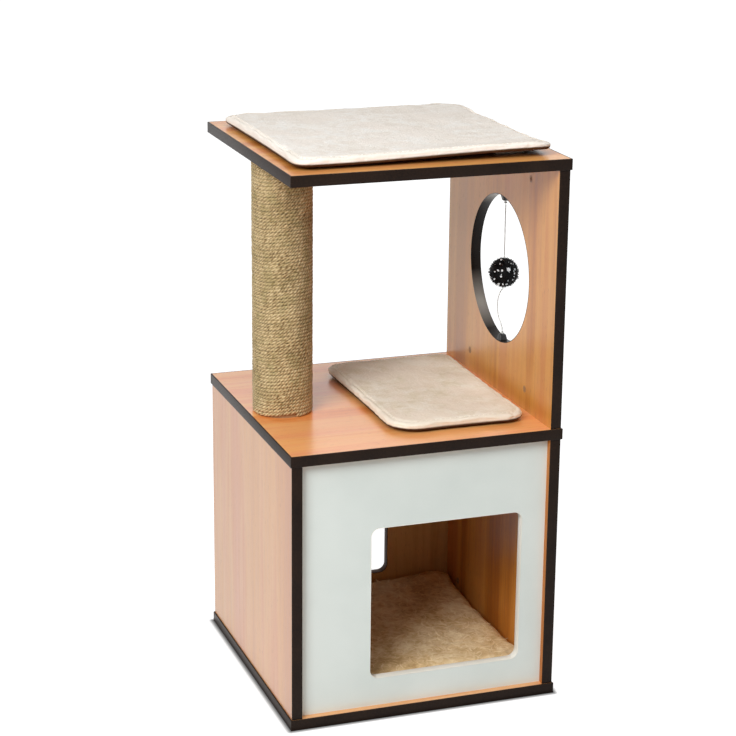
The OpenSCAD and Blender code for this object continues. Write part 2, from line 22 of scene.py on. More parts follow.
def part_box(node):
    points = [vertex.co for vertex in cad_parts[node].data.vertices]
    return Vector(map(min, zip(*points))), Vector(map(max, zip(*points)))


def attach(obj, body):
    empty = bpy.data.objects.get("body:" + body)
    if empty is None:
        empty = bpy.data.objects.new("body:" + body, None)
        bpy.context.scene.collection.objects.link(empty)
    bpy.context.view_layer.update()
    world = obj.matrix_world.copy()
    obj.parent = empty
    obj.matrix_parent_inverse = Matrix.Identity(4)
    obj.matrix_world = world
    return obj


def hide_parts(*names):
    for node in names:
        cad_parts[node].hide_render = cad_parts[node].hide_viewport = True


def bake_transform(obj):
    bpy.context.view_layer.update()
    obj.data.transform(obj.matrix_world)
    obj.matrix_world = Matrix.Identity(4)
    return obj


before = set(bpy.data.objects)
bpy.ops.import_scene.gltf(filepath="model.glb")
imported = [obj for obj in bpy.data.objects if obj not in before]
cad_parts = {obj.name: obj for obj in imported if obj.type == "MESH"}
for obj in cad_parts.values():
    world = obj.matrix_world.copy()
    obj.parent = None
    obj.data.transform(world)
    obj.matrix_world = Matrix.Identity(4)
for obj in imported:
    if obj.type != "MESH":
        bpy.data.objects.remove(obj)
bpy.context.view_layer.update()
LOG = logging.getLogger("cat_condo")

Colour = tuple[int, int, int]
Point = tuple[float, float, float]
Range = tuple[float, float]
Corners = tuple[float, float, float, float]
Spots = tuple[tuple[Point, float], ...]
Numbers = float | np.ndarray
Piece = bpy.types.Object
Socket = bpy.types.NodeSocket
Feed = Socket | float | Sequence[float]
Test = Callable[[Vector, Vector], bool]

MM = 0.001
HAIR = 0.01 * MM
FULL_TURN = 2 * math.pi
QUARTER_TURN = math.pi / 2
WHITE = (1.0, 1.0, 1.0, 1.0)
# How much of a face's normal lies along an axis when the face counts as square to it
SQUARE = 0.9
DEAD_SQUARE = 0.99
# Sides in X and Y of the four corners: front left, front right, back right, back left
CORNER_SIDES = ((-1, -1), (1, -1), (1, 1), (-1, 1))


class Axis(Enum):
    """Direction that a board's grain runs in."""

    ALONG_X = 0
    ALONG_Z = 2


class Twist(Enum):
    """How a swept section keeps its way up."""

    LEVEL = "Z_UP"
    FREE = "MINIMUM"


# Numbers


def share(value: Numbers, start: float, end: float) -> Numbers:
    """How far a number has come from a start to an end, held between 0 and 1."""
    return np.clip((value - start) / (end - start), 0, 1)


def eased(part: Numbers) -> Numbers:
    """A share from 0 to 1 with a soft start and end."""
    return part * part * (3 - 2 * part)


def noise_at(points: np.ndarray, *waves: Range) -> np.ndarray:
    """Sum of noises at points, each with its scale and its weight."""
    return np.array([sum(weight * noise.noise(Vector(p) * scale) for scale, weight in waves) for p in points])


# Modelling steps


def deselect() -> None:
    """Clears the selection, which the CAD import leaves full."""
    bpy.ops.object.select_all(action="DESELECT")


def link(piece: Piece) -> None:
    """Puts a new object into the scene."""
    bpy.context.scene.collection.objects.link(piece)


def take(piece: Piece) -> None:
    """Makes a piece the only selected one, and the active one.

    Args:
        piece: The piece.
    """
    deselect()
    piece.select_set(True)
    bpy.context.view_layer.objects.active = piece


def named(name: str) -> Piece:
    """Names the object that an operator has just added.

    Args:
        name: Name for the object and its data.

    Returns:
        The object.
    """
    piece = bpy.context.active_object
    piece.name = piece.data.name = name
    return piece


def settle(piece: Piece) -> Piece:
    """Puts a piece's place, turn and scale into its mesh.

    Args:
        piece: The piece.

    Returns:
        The piece.
    """
    take(piece)
    bpy.ops.object.transform_apply(location=True, rotation=True, scale=True)
    return piece


@contextmanager
def editing(piece: Piece, mode: str = "FACE") -> Iterator[None]:
    """Opens a piece in edit mode, with the selection that its mesh holds.

    Args:
        piece: The piece to edit.
        mode: What is selected: VERT, EDGE or FACE.

    Yields:
        Nothing, while the piece is open.
    """
    take(piece)
    bpy.context.tool_settings.mesh_select_mode = [mode == kind for kind in ("VERT", "EDGE", "FACE")]
    bpy.ops.object.mode_set(mode="EDIT")
    yield
    bpy.ops.object.mode_set(mode="OBJECT")


def unmark(piece: Piece) -> None:
    """Clears the selection inside a piece's mesh."""
    for part in (piece.data.vertices, piece.data.edges, piece.data.polygons):
        part.foreach_set("select", [False] * len(part))


def mark_faces(piece: Piece, test: Test) -> None:
    """Selects the faces that pass a test.

    Args:
        piece: The piece.
        test: Test of a face's middle and normal.
    """
    unmark(piece)
    for face in piece.data.polygons:
        face.select = test(face.center, face.normal)


def mark_all(piece: Piece) -> None:
    """Selects all faces."""
    mark_faces(piece, lambda _middle, _normal: True)


def mark_edges(piece: Piece, test: Test) -> None:
    """Selects the edges that pass a test.

    Args:
        piece: The piece.
        test: Test of an edge's two ends.
    """
    unmark(piece)
    points = piece.data.vertices
    for edge in piece.data.edges:
        edge.select = test(points[edge.vertices[0]].co, points[edge.vertices[1]].co)


def apply_modifier(piece: Piece, kind: str, **settings: object) -> None:
    """Adds a modifier and applies it.

    Args:
        piece: The piece.
        kind: Kind of modifier.
        settings: The modifier's settings.
    """
    take(piece)
    modifier = piece.modifiers.new(kind.title(), kind)
    for name, value in settings.items():
        setattr(modifier, name, value)
    bpy.ops.object.modifier_apply(modifier=modifier.name)


def ease_edges(piece: Piece, width: float) -> None:
    """Rounds over the sharp edges of a piece."""
    apply_modifier(piece, "BEVEL", width=width, segments=2, limit_method="ANGLE",
                   angle_limit=math.radians(60))


def smooth(piece: Piece, degrees: float = 40.0) -> Piece:
    """Shades a piece smoothly, except over sharp edges.

    Args:
        piece: The piece.
        degrees: Angle from which an edge is sharp.

    Returns:
        The piece.
    """
    take(piece)
    bpy.ops.object.shade_smooth_by_angle(angle=math.radians(degrees))
    return piece


def smooth_all(piece: Piece) -> None:
    """Shades all faces of a piece smoothly."""
    piece.data.polygons.foreach_set("use_smooth", [True] * len(piece.data.polygons))


def face_outwards(piece: Piece) -> None:
    """Turns all faces of a closed piece outwards.

    Args:
        piece: The piece.
    """
    mark_all(piece)
    with editing(piece):
        bpy.ops.mesh.normals_make_consistent(inside=False)


def join(pieces: Sequence[Piece], name: str) -> Piece:
    """Joins pieces into the first of them.

    Args:
        pieces: The pieces, of which the first stays.
        name: Name of the joined piece.

    Returns:
        The joined piece.
    """
    take(pieces[0])
    for piece in pieces[1:]:
        piece.select_set(True)
    bpy.ops.object.join()
    return named(name)


def block(name: str, low: Vector, high: Vector) -> Piece:
    """Adds a block between two corners.

    Args:
        name: Name of the piece.
        low: Its lowest corner.
        high: Its highest corner.

    Returns:
        The block.
    """
    deselect()
    bpy.ops.mesh.primitive_cube_add(size=1, location=(low + high) / 2)
    piece = named(name)
    piece.scale = high - low
    return settle(piece)


def rounded_plate(name: str, middle: Vector, size: Range, radii: Corners, steps: int,
                  turn: Point = (0.0, 0.0, 0.0)) -> Piece:
    """Adds a flat rounded rectangle of one face.

    Args:
        name: Name of the piece.
        middle: Its middle.
        size: Width and depth before it is turned.
        radii: Corner radii.
        steps: Edges in a corner.
        turn: Rotation in radians.

    Returns:
        The plate.
    """
    deselect()
    bpy.ops.mesh.primitive_plane_add(size=1)
    piece = named(name)
    piece.scale = (*size, 1)
    settle(piece)
    for (across, along), radius in zip(CORNER_SIDES, radii):
        corner = Vector((across * size[0] / 2, along * size[1] / 2, 0))
        unmark(piece)
        for vertex in piece.data.vertices:
            vertex.select = (vertex.co - corner).length < HAIR
        with editing(piece, "VERT"):
            bpy.ops.mesh.bevel(offset=radius, segments=steps, affect="VERTICES")
    piece.rotation_euler = turn
    piece.location = middle
    return settle(piece)


def copy_of(piece: Piece, place: Matrix) -> Piece:
    """Copies a piece, with a mesh of its own.

    Args:
        piece: The piece.
        place: Place, turn and scale of the copy.

    Returns:
        The copy.
    """
    double = piece.copy()
    double.data = piece.data.copy()
    double.matrix_world = place
    link(double)
    return double


def upright_on(outward: Vector) -> Matrix:
    """The turn that stands a thing up along a direction."""
    return outward.to_track_quat("Z", "Y").to_matrix().to_4x4()


def rows_of(items: bpy.types.bpy_prop_collection, name: str) -> np.ndarray:
    """Reads a vector from each part of a mesh.

    Args:
        items: The mesh's points or their normals.
        name: What is read.

    Returns:
        Rows of x, y, z.
    """
    flat = np.empty(len(items) * 3, np.float32)
    items.foreach_get(name, flat)
    return flat.reshape(-1, 3).astype(float)


def points_of(piece: Piece) -> np.ndarray:
    """Reads a mesh's points."""
    return rows_of(piece.data.vertices, "co")


def normals_of(piece: Piece) -> np.ndarray:
    """Reads the normals at a mesh's points."""
    return rows_of(piece.data.vertex_normals, "vector")


def set_points(piece: Piece, points: np.ndarray) -> None:
    """Writes a mesh's points."""
    piece.data.vertices.foreach_set("co", points.astype(np.float32).ravel())
    piece.data.update()


def store(piece: Piece, name: str, values: np.ndarray) -> None:
    """Keeps one number for each point of a mesh, for its finish."""
    attribute = piece.data.attributes.new(name, "FLOAT", "POINT")
    attribute.data.foreach_set("value", values.astype(np.float32))


@dataclass(frozen=True)
class Strands:
    """Make of a twisted rope or string.

    A strand turns once in the length of the lay, and stands out by the lobe, a share of the radius.
    """

    count: int
    sides: int
    lay: float
    lobe: float
    twist: Twist = Twist.FREE
    uneven: float = 0.0
    uneven_scale: float = 70.0

    def section(self, name: str, radius: float) -> Piece:
        """Draws the lobed section.

        Args:
            name: Name of the curve.
            radius: Mean radius.

        Returns:
            The section, as a curve.
        """
        curve = bpy.data.curves.new(name, "CURVE")
        rim = curve.splines.new("POLY")
        rim.points.add(self.sides - 1)
        for step, point in enumerate(rim.points):
            angle = -FULL_TURN * step / self.sides
            reach = radius * (1 + self.lobe * math.cos(self.count * angle))
            point.co = (reach * math.cos(angle), reach * math.sin(angle), 0, 1)
        rim.use_cyclic_u = True
        section = bpy.data.objects.new(name, curve)
        link(section)
        return section

    def tube(self, name: str, line: Sequence[Point], radius: float, closed: bool = False,
             swell: Sequence[float] | None = None) -> Piece:
        """Sweeps the section along a line while it turns, and makes it a mesh.

        Args:
            name: Name of the piece.
            line: Points of the centreline.
            radius: Mean radius of the section.
            closed: Whether the line is a ring.
            swell: Thickness at each point, as a share of the whole.

        Returns:
            The tube, with a UV map whose U runs along it and whose V runs round it.
        """
        section = self.section(f"{name}_section", radius)
        curve = bpy.data.curves.new(name, "CURVE")
        curve.dimensions = "3D"
        curve.twist_mode = self.twist.value
        spline = curve.splines.new("POLY")
        spline.points.add(len(line) - 1)
        turned = 0.0
        for step, point in enumerate(spline.points):
            if step:
                wander = 1 + self.uneven * noise.noise(Vector(line[step]) * self.uneven_scale)
                turned += math.dist(line[step - 1], line[step]) / self.lay * wander
            point.co = (*line[step], 1)
            point.tilt = -FULL_TURN * (turned % 1.0)
            point.radius = swell[step] if swell is not None else 1.0
        spline.use_cyclic_u = closed
        curve.bevel_mode = "OBJECT"
        curve.bevel_object = section
        curve.use_fill_caps = not closed
        tube = bpy.data.objects.new(name, curve)
        link(tube)
        take(tube)
        bpy.ops.object.convert(target="MESH")
        bpy.data.objects.remove(section)
        tube = named(name)
        face_outwards(tube)
        smooth_all(tube)
        return tube


# Finishes


def linear(colour: Colour) -> tuple[float, float, float, float]:
    """Turns a screen colour, 0 to 255, into the linear one that a shader takes."""
    return (*(((c / 255 + 0.055) / 1.055) ** 2.4 if c > 10 else c / 255 / 12.92 for c in colour), 1.0)


@dataclass(frozen=True)
class Speckle:
    """One noise of a finish: how fine it is, its detail and its roughness."""

    scale: float
    detail: float = 2.0
    rough: float = 0.5


class Nodes:
    """Nodes of one shader tree."""

    def __init__(self, tree: bpy.types.NodeTree) -> None:
        """Starts from an empty tree."""
        self.tree = tree
        self.tree.nodes.clear()

    def feed(self, socket: Socket, value: Feed) -> None:
        """Links a socket to another, or sets its value.

        Args:
            socket: The socket that is fed.
            value: Another node's socket, or a constant.
        """
        if isinstance(value, bpy.types.NodeSocket):
            self.tree.links.new(value, socket)
        else:
            socket.default_value = value

    def add(self, kind: str, feeds: dict[str | int, Feed] | None = None,
            **settings: object) -> bpy.types.Node:
        """Adds a node.

        Args:
            kind: Kind of node.
            feeds: What its sockets get, by their names or numbers.
            settings: Its other settings.

        Returns:
            The node.
        """
        node = self.tree.nodes.new(kind)
        for name, value in settings.items():
            setattr(node, name, value)
        for socket, value in (feeds or {}).items():
            self.feed(node.inputs[socket], value)
        return node

    def math(self, operation: str, first: Feed, second: Feed = 0.0) -> Socket:
        """One sum of two numbers."""
        return self.add("ShaderNodeMath", {0: first, 1: second}, operation=operation).outputs[0]

    def vector(self, operation: str, *values: Feed, output: str = "Vector") -> Socket:
        """One sum of vectors."""
        return self.add("ShaderNodeVectorMath", dict(enumerate(values)), operation=operation).outputs[output]

    def fit(self, value: Socket, old: Range, new: Range, how: str = "LINEAR") -> Socket:
        """A number moved from one range to another, and held inside it."""
        feeds = dict(zip(("Value", "From Min", "From Max", "To Min", "To Max"), (value, *old, *new)))
        return self.add("ShaderNodeMapRange", feeds, interpolation_type=how).outputs["Result"]

    def seen(self) -> Socket:
        """A number that is 1 for rays from the camera, reflected rays and rays let through.

        Returns:
            The number.
        """
        rays = self.add("ShaderNodeLightPath").outputs
        direct = self.math("MAXIMUM", rays["Is Camera Ray"], rays["Is Glossy Ray"])
        return self.math("MAXIMUM", direct, rays["Is Transmission Ray"])


class Graph(Nodes):
    """Shader graph of one finish, round one Principled shader."""

    # Range that most of a noise lies in
    noise_span = (0.3, 0.7)

    def __init__(self, name: str, rough: float, specular: float = 0.5, sheen: float = 0.0,
                 metal: float = 0.0, coat: float = 0.0, through: float = 0.0) -> None:
        """Starts a material.

        Args:
            name: Name of the material.
            rough: Roughness, until one is fed.
            specular: Specular level.
            sheen: Weight of the fabric sheen.
            metal: Metallic share.
            coat: Weight of a clear coat.
            through: Share of light that passes through.
        """
        self.material = bpy.data.materials.new(name)
        self.material.use_nodes = True
        super().__init__(self.material.node_tree)
        self.shader = self.add("ShaderNodeBsdfPrincipled", {
            "Roughness": rough,
            "Specular IOR Level": specular,
            "Sheen Weight": sheen,
            "Sheen Roughness": 0.5,
            "Metallic": metal,
            "Coat Weight": coat,
            "Coat Roughness": 0.22,
            "Transmission Weight": through,
        })
        self.add("ShaderNodeOutputMaterial", {"Surface": self.shader.outputs["BSDF"]})

    def place(self, scale: Point = (1.0, 1.0, 1.0), shift: Point = (0.0, 0.0, 0.0),
              source: str = "Object") -> Socket:
        """Object coordinates in metres, or the piece's own UV map, scaled and shifted."""
        start = self.add("ShaderNodeTexCoord").outputs[source]
        feeds = {"Vector": start, "Location": shift, "Scale": scale}
        return self.add("ShaderNodeMapping", feeds).outputs["Vector"]

    def round_strands(self, strands: int) -> Socket:
        """A number that is 1 on each strand of a twisted tube and 0 between them.

        Args:
            strands: Strands that show round the tube.

        Returns:
            The number.
        """
        surface = self.add("ShaderNodeTexCoord").outputs["UV"]
        round_it = self.add("ShaderNodeSeparateXYZ", {0: surface}).outputs["Y"]
        turn = self.math("MULTIPLY", round_it, FULL_TURN * strands)
        return self.fit(self.math("COSINE", turn), (-1.0, 1.0), (0.0, 1.0))

    def kept(self, name: str) -> Socket:
        """A number that the piece keeps for each point."""
        return self.add("ShaderNodeAttribute", attribute_name=name).outputs["Fac"]

    def noise(self, vector: Socket, speckle: Speckle, output: str = "Fac") -> Socket:
        """Fractal noise over a vector."""
        feeds = {"Vector": vector, "Scale": speckle.scale, "Detail": speckle.detail,
                 "Roughness": speckle.rough}
        return self.add("ShaderNodeTexNoise", feeds).outputs[output]

    def warp(self, vector: Socket, scale: float, reach: float) -> Socket:
        """A vector that wanders by up to about half of reach."""
        return self.vector("MULTIPLY_ADD", self.noise(vector, Speckle(scale), "Color"), (reach,) * 3, vector)

    def blend(self, *parts: tuple[Socket, float]) -> Socket:
        """Weighted sum of numbers.

        Args:
            parts: The numbers with their weights.

        Returns:
            The sum.
        """
        total = self.math("MULTIPLY", *parts[0])
        for value, weight in parts[1:]:
            total = self.math("ADD", total, self.math("MULTIPLY", value, weight))
        return total

    def ramp(self, value: Socket, *stops: tuple[float, Colour]) -> Socket:
        """Turns a number into a colour.

        Args:
            value: The number.
            stops: Colours along the ramp, each at its place.

        Returns:
            The colour.
        """
        node = self.add("ShaderNodeValToRGB", {"Fac": value})
        ramp = node.color_ramp
        while len(ramp.elements) < len(stops):
            ramp.elements.new(1.0)
        for element, (at, colour) in zip(ramp.elements, stops):
            element.position = at
            element.color = linear(colour)
        return node.outputs["Color"]

    def mix(self, part: Socket, first: Feed, second: Colour) -> Socket:
        """A colour mixed with some part of another, at the sockets that a Mix node has for colours."""
        return self.add("ShaderNodeMix", {0: part, 6: first, 7: linear(second)}, data_type="RGBA").outputs[2]

    def spotted(self, body: Socket, colour: Colour, spots: Spots, solid: float, most: float) -> Socket:
        """Lays spots of another colour over one, which fade outwards.

        Args:
            body: The colour below.
            colour: The spots' colour.
            spots: Middle and reach of each spot.
            solid: Share of the reach in which a spot doesn't fade.
            most: Share of the spots' colour there.

        Returns:
            The spotted colour.
        """
        for middle, reach in spots:
            off = self.vector("DISTANCE", self.place(), middle, output="Value")
            body = self.mix(self.fit(off, (solid * reach, reach), (most, 0.0)), body, colour)
        return body

    def bump(self, height: Socket, depth: float, strength: float = 1.0) -> None:
        """Feeds the shader's normal with a height of that depth in metres."""
        feeds = {"Strength": strength, "Distance": depth, "Height": height}
        self.feed(self.shader.inputs["Normal"], self.add("ShaderNodeBump", feeds).outputs["Normal"])

    def colour(self, value: Socket) -> None:
        """Feeds the shader's base colour."""
        self.feed(self.shader.inputs["Base Color"], value)

    def roughness(self, value: Socket, low: float, high: float) -> None:
        """Feeds the shader's roughness with a noise, between two levels."""
        self.feed(self.shader.inputs["Roughness"], self.fit(value, self.noise_span, (low, high)))


@dataclass(frozen=True)
class LaminateWood:
    """Printed wood laminate with straight grain under a satin coat."""

    name: str
    grain: Axis
    shift: float
    pale: Colour
    mid: Colour
    deep: Colour
    rosy: Colour
    streak: Colour = (122, 68, 36)
    streak_share: float = 0.35
    fleck_share: float = 0.3
    rough: float = 0.34
    coat: float = 0.6
    broad: float = 17.0
    specular: float = 0.5
    # Paler spots, where given, are painted light that brightens shaded parts of a board
    painted_light_tone: Colour = (250, 204, 142)
    painted_light_spots: Spots = ()
    grain_scale: float = 0.045
    fleck_scale: float = 0.16
    lines: Speckle = Speckle(120.0, 5.0, 0.62)
    fine: Speckle = Speckle(760.0, 2.0, 0.6)
    streaks: Speckle = Speckle(42.0, 4.0, 0.7)
    flecks: Speckle = Speckle(620.0, 1.0)

    def drawn_out(self, g: Graph, scale: float, shift: Point) -> Socket:
        """Place on the board, drawn out along its grain.

        Args:
            g: The graph.
            scale: Scale along the grain.
            shift: Shift of the pattern.

        Returns:
            The place.
        """
        scales = [1.0, 1.0, 1.0]
        scales[self.grain.value] = scale
        return g.place(tuple(scales), shift)

    def make(self) -> bpy.types.Material:
        """Builds the material.

        Returns:
            The material.
        """
        g = Graph(self.name, self.rough, self.specular, coat=self.coat)
        shift = (self.shift, 1.7 * self.shift, 0.6 * self.shift)
        at = g.warp(self.drawn_out(g, self.grain_scale, shift), 6.0, 0.03)
        bands = g.noise(at, Speckle(self.broad, 3.0))
        lines = g.noise(at, self.lines)
        fine = g.noise(at, self.fine)
        tone = g.blend((bands, 0.74), (lines, 0.18), (fine, 0.08))
        body = g.ramp(tone, (0.39, self.deep), (0.46, self.mid), (0.52, self.pale), (0.60, self.rosy))
        streaks = g.fit(g.noise(at, self.streaks), (0.64, 0.74), (0.0, self.streak_share))
        # Painted light: paler spots laid over the grain
        body = g.spotted(g.mix(streaks, body, self.streak), self.painted_light_tone, self.painted_light_spots, 0.0, 0.6)
        flecks = g.noise(self.drawn_out(g, self.fleck_scale, (self.shift,) * 3), self.flecks)
        g.colour(g.mix(g.fit(flecks, (0.66, 0.74), (0.0, self.fleck_share)), body, self.streak))
        g.roughness(lines, self.rough - 0.04, self.rough + 0.08)
        g.bump(g.blend((fine, 0.6), (lines, 0.4)), 0.12 * MM, 0.5)
        return g.material


@dataclass(frozen=True)
class EdgeBanding:
    """Dark plastic edge banding with a fine drawn grain, and painted highlights in spots."""

    name: str
    dark: Colour = (24, 15, 10)
    light: Colour = (42, 29, 21)
    rough: float = 0.36
    specular: float = 0.1
    painted_highlight_tone: Colour = (176, 172, 164)
    painted_highlight_spots: Spots = ()
    drawn: Speckle = Speckle(420.0, 4.0, 0.65)
    cloud: Speckle = Speckle(22.0)

    def make(self) -> bpy.types.Material:
        """Builds the material.

        Returns:
            The material.
        """
        g = Graph(self.name, self.rough, self.specular)
        at = g.place()
        drawn = g.noise(at, self.drawn)
        tone = g.blend((drawn, 0.6), (g.noise(at, self.cloud), 0.4))
        body = g.ramp(tone, (0.36, self.dark), (0.66, self.light))
        # Pale spots, where given, are painted highlights on the banding
        g.colour(g.spotted(body, self.painted_highlight_tone, self.painted_highlight_spots, 0.1, 0.85))
        g.roughness(drawn, self.rough - 0.06, self.rough + 0.10)
        g.bump(drawn, 0.10 * MM, 0.4)
        return g.material


@dataclass(frozen=True)
class PaintedPanel:
    """Pale satin coat with a faint orange-peel skin and mottling."""

    name: str
    pale: Colour
    shade: Colour
    rough: float = 0.34
    cloud: Speckle = Speckle(9.0, 3.0)
    skin: Speckle = Speckle(900.0)

    def make(self) -> bpy.types.Material:
        """Builds the material.

        Returns:
            The material.
        """
        g = Graph(self.name, self.rough, specular=0.4)
        at = g.place()
        skin = g.noise(at, self.skin)
        tone = g.blend((g.noise(at, self.cloud), 0.85), (skin, 0.15))
        g.colour(g.ramp(tone, (0.35, self.shade), (0.65, self.pale)))
        g.roughness(skin, self.rough - 0.04, self.rough + 0.06)
        g.bump(skin, 0.05 * MM, 0.35)
        return g.material


@dataclass(frozen=True)
class SisalFibre:
    """Twisted sisal: pale fibres along the strands, and painted shade in the grooves between them."""

    name: str
    length: float
    round_it: float
    strands: int
    pale: Colour = (227, 206, 162)
    mid: Colour = (190, 164, 118)
    dark: Colour = (104, 76, 40)
    olive: Colour = (158, 142, 92)
    fibre_scale: float = 0.22
    fibres: Speckle = Speckle(1800.0, 3.0, 0.6)
    turns: Speckle = Speckle(150.0, 4.0, 0.7)
    cloud: Speckle = Speckle(30.0, 3.0)
    patches: Speckle = Speckle(55.0, 3.0, 0.6)

    def make(self) -> bpy.types.Material:
        """Builds the material.

        Returns:
            The material.
        """
        g = Graph(self.name, 0.86, specular=0.25, sheen=0.12)
        at = g.place()
        along = g.place((self.fibre_scale * self.length, self.round_it, 1.0), source="UV")
        fibres = g.noise(g.warp(along, 90.0, 0.004), self.fibres)
        turns = g.noise(g.place((self.length, 0.0, 0.0), source="UV"), self.turns)
        strands = g.round_strands(self.strands)
        # The strands' share darkens the grooves between the strands: painted shade
        tone = g.blend((fibres, 0.34), (turns, 0.40), (g.noise(at, self.cloud), 0.16), (strands, 0.10))
        body = g.ramp(tone, (0.395, self.dark), (0.49, self.mid), (0.585, self.pale))
        patches = g.fit(g.noise(at, self.patches), (0.48, 0.64), (0.0, 0.45))
        g.colour(g.mix(patches, body, self.olive))
        g.bump(g.blend((fibres, 0.5), (strands, 0.5)), 0.6 * MM, 0.9)
        return g.material


@dataclass(frozen=True)
class Fleece:
    """Short brushed pile with soft mottling, a paler hem and painted shade low on the rim and underneath."""

    name: str
    pale: Colour
    mid: Colour
    shade: Colour
    other: Colour
    hem: Colour
    backing: Colour = (84, 58, 38)
    depth: float = 2.2
    brushed: Speckle = Speckle(46.0, 5.0, 0.65)
    cloud: Speckle = Speckle(8.0)
    nap: Speckle = Speckle(800.0, 3.0, 0.7)
    patches: Speckle = Speckle(15.0, 3.0, 0.6)
    tufts: Speckle = Speckle(240.0, 3.0, 0.6)

    def make(self) -> bpy.types.Material:
        """Builds the material.

        Returns:
            The material.
        """
        g = Graph(self.name, 0.95, specular=0.0, sheen=0.03)
        at = g.place()
        brushed = g.noise(g.warp(at, 60.0, 0.02), self.brushed)
        nap = g.noise(at, self.nap)
        tone = g.blend((brushed, 0.58), (g.noise(at, self.cloud), 0.28), (nap, 0.14))
        body = g.ramp(tone, (0.42, self.shade), (0.50, self.mid), (0.57, self.pale))
        patches = g.fit(g.noise(g.warp(at, 9.0, 0.08), self.patches), (0.46, 0.58), (0.0, 0.7))
        body = g.mix(g.kept("hem"), g.mix(patches, body, self.other), self.hem)
        # Painted shade: dark brown low on the rim and under the mat, where the gap beneath its edge lies in
        # shadow
        g.colour(g.mix(g.kept("backing"), body, self.backing))
        tufts = g.noise(g.warp(at, 300.0, 0.004), self.tufts)
        g.bump(g.blend((nap, 0.25), (tufts, 0.5), (brushed, 0.25)), self.depth * MM)
        return g.material


@dataclass(frozen=True)
class CurledPlush:
    """Long curled pile, paler on the curls and darker between them; on the locks of pile the darkening is
    painted shade, low on their sides.
    """

    name: str
    pale: Colour = (242, 221, 181)
    mid: Colour = (217, 187, 140)
    dark: Colour = (189, 156, 109)
    hair: Speckle = Speckle(380.0, 4.0, 0.7)
    tufts: Speckle = Speckle(95.0, 4.0, 0.65)
    cloud: Speckle = Speckle(14.0)

    def make(self) -> bpy.types.Material:
        """Builds the material.

        Returns:
            The material.
        """
        g = Graph(self.name, 0.95, specular=0.0)
        at = g.place()
        hair = g.noise(g.warp(at, 120.0, 0.02), self.hair)
        tufts = g.noise(g.warp(at, 40.0, 0.05), self.tufts)
        # The kept curl is a pattern on the cushion and painted shade on the locks
        tone = g.blend((g.kept("curl"), 0.10), (tufts, 0.34), (hair, 0.12), (g.noise(at, self.cloud), 0.44))
        g.colour(g.ramp(tone, (0.38, self.dark), (0.47, self.mid), (0.60, self.pale)))
        g.bump(g.blend((tufts, 0.4), (hair, 0.6)), 1.2 * MM, 0.7)
        return g.material


@dataclass(frozen=True)
class SmallStuff:
    """Plain stock for fittings: base tones, roughness and a fine skin."""

    name: str
    pale: Colour
    dark: Colour
    rough: float
    skin: float
    depth: float
    metal: float = 0.0
    specular: float = 0.5
    stretch: Point = (1.0, 1.0, 1.0)
    through: float = 0.0
    play: float = 0.08

    def make(self) -> bpy.types.Material:
        """Builds the material.

        Returns:
            The material.
        """
        g = Graph(self.name, self.rough, self.specular, metal=self.metal, through=self.through)
        at = g.place(self.stretch)
        skin = g.noise(at, Speckle(self.skin, 4.0, 0.6))
        cloud = g.noise(at, Speckle(self.skin / 12))
        g.colour(g.ramp(g.blend((skin, 0.6), (cloud, 0.4)), (0.34, self.dark), (0.66, self.pale)))
        g.roughness(skin, self.rough - self.play, min(1.0, self.rough + self.play))
        g.bump(skin, self.depth * MM, 0.6)
        return g.material


Finish = LaminateWood | EdgeBanding | PaintedPanel | SisalFibre | Fleece | CurledPlush | SmallStuff
MADE: dict[Finish, bpy.types.Material] = {}


def dress(piece: Piece, *finishes: Finish) -> None:
    """Gives a piece its finishes, in place of what it has.

    Args:
        piece: The piece.
        finishes: One finish for each material slot.
    """
    piece.data.materials.clear()
    for finish in finishes:
        if finish not in MADE:
            MADE[finish] = finish.make()
        piece.data.materials.append(MADE[finish])


def add_piece(piece: Piece, body: str, slot: str, *nodes: str) -> Piece:
    """Sets a finished piece into the frame.

    Args:
        piece: The piece, with its place in its mesh.
        body: CAD body that it moves with.
        slot: Material slot of the record; not used.
        nodes: CAD nodes that it stands for.

    Returns:
        The piece.
    """
    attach(piece, body)
    if nodes:
        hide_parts(*nodes)
    LOG.info("piece %s: %d points, rides on %s, stands for %s",
             piece.name, len(piece.data.vertices), body, ", ".join(nodes) or "no node")
    return piece


# Boards and their edging

BASE_BODY = "condo"
HOLE_X = 185.5 * MM
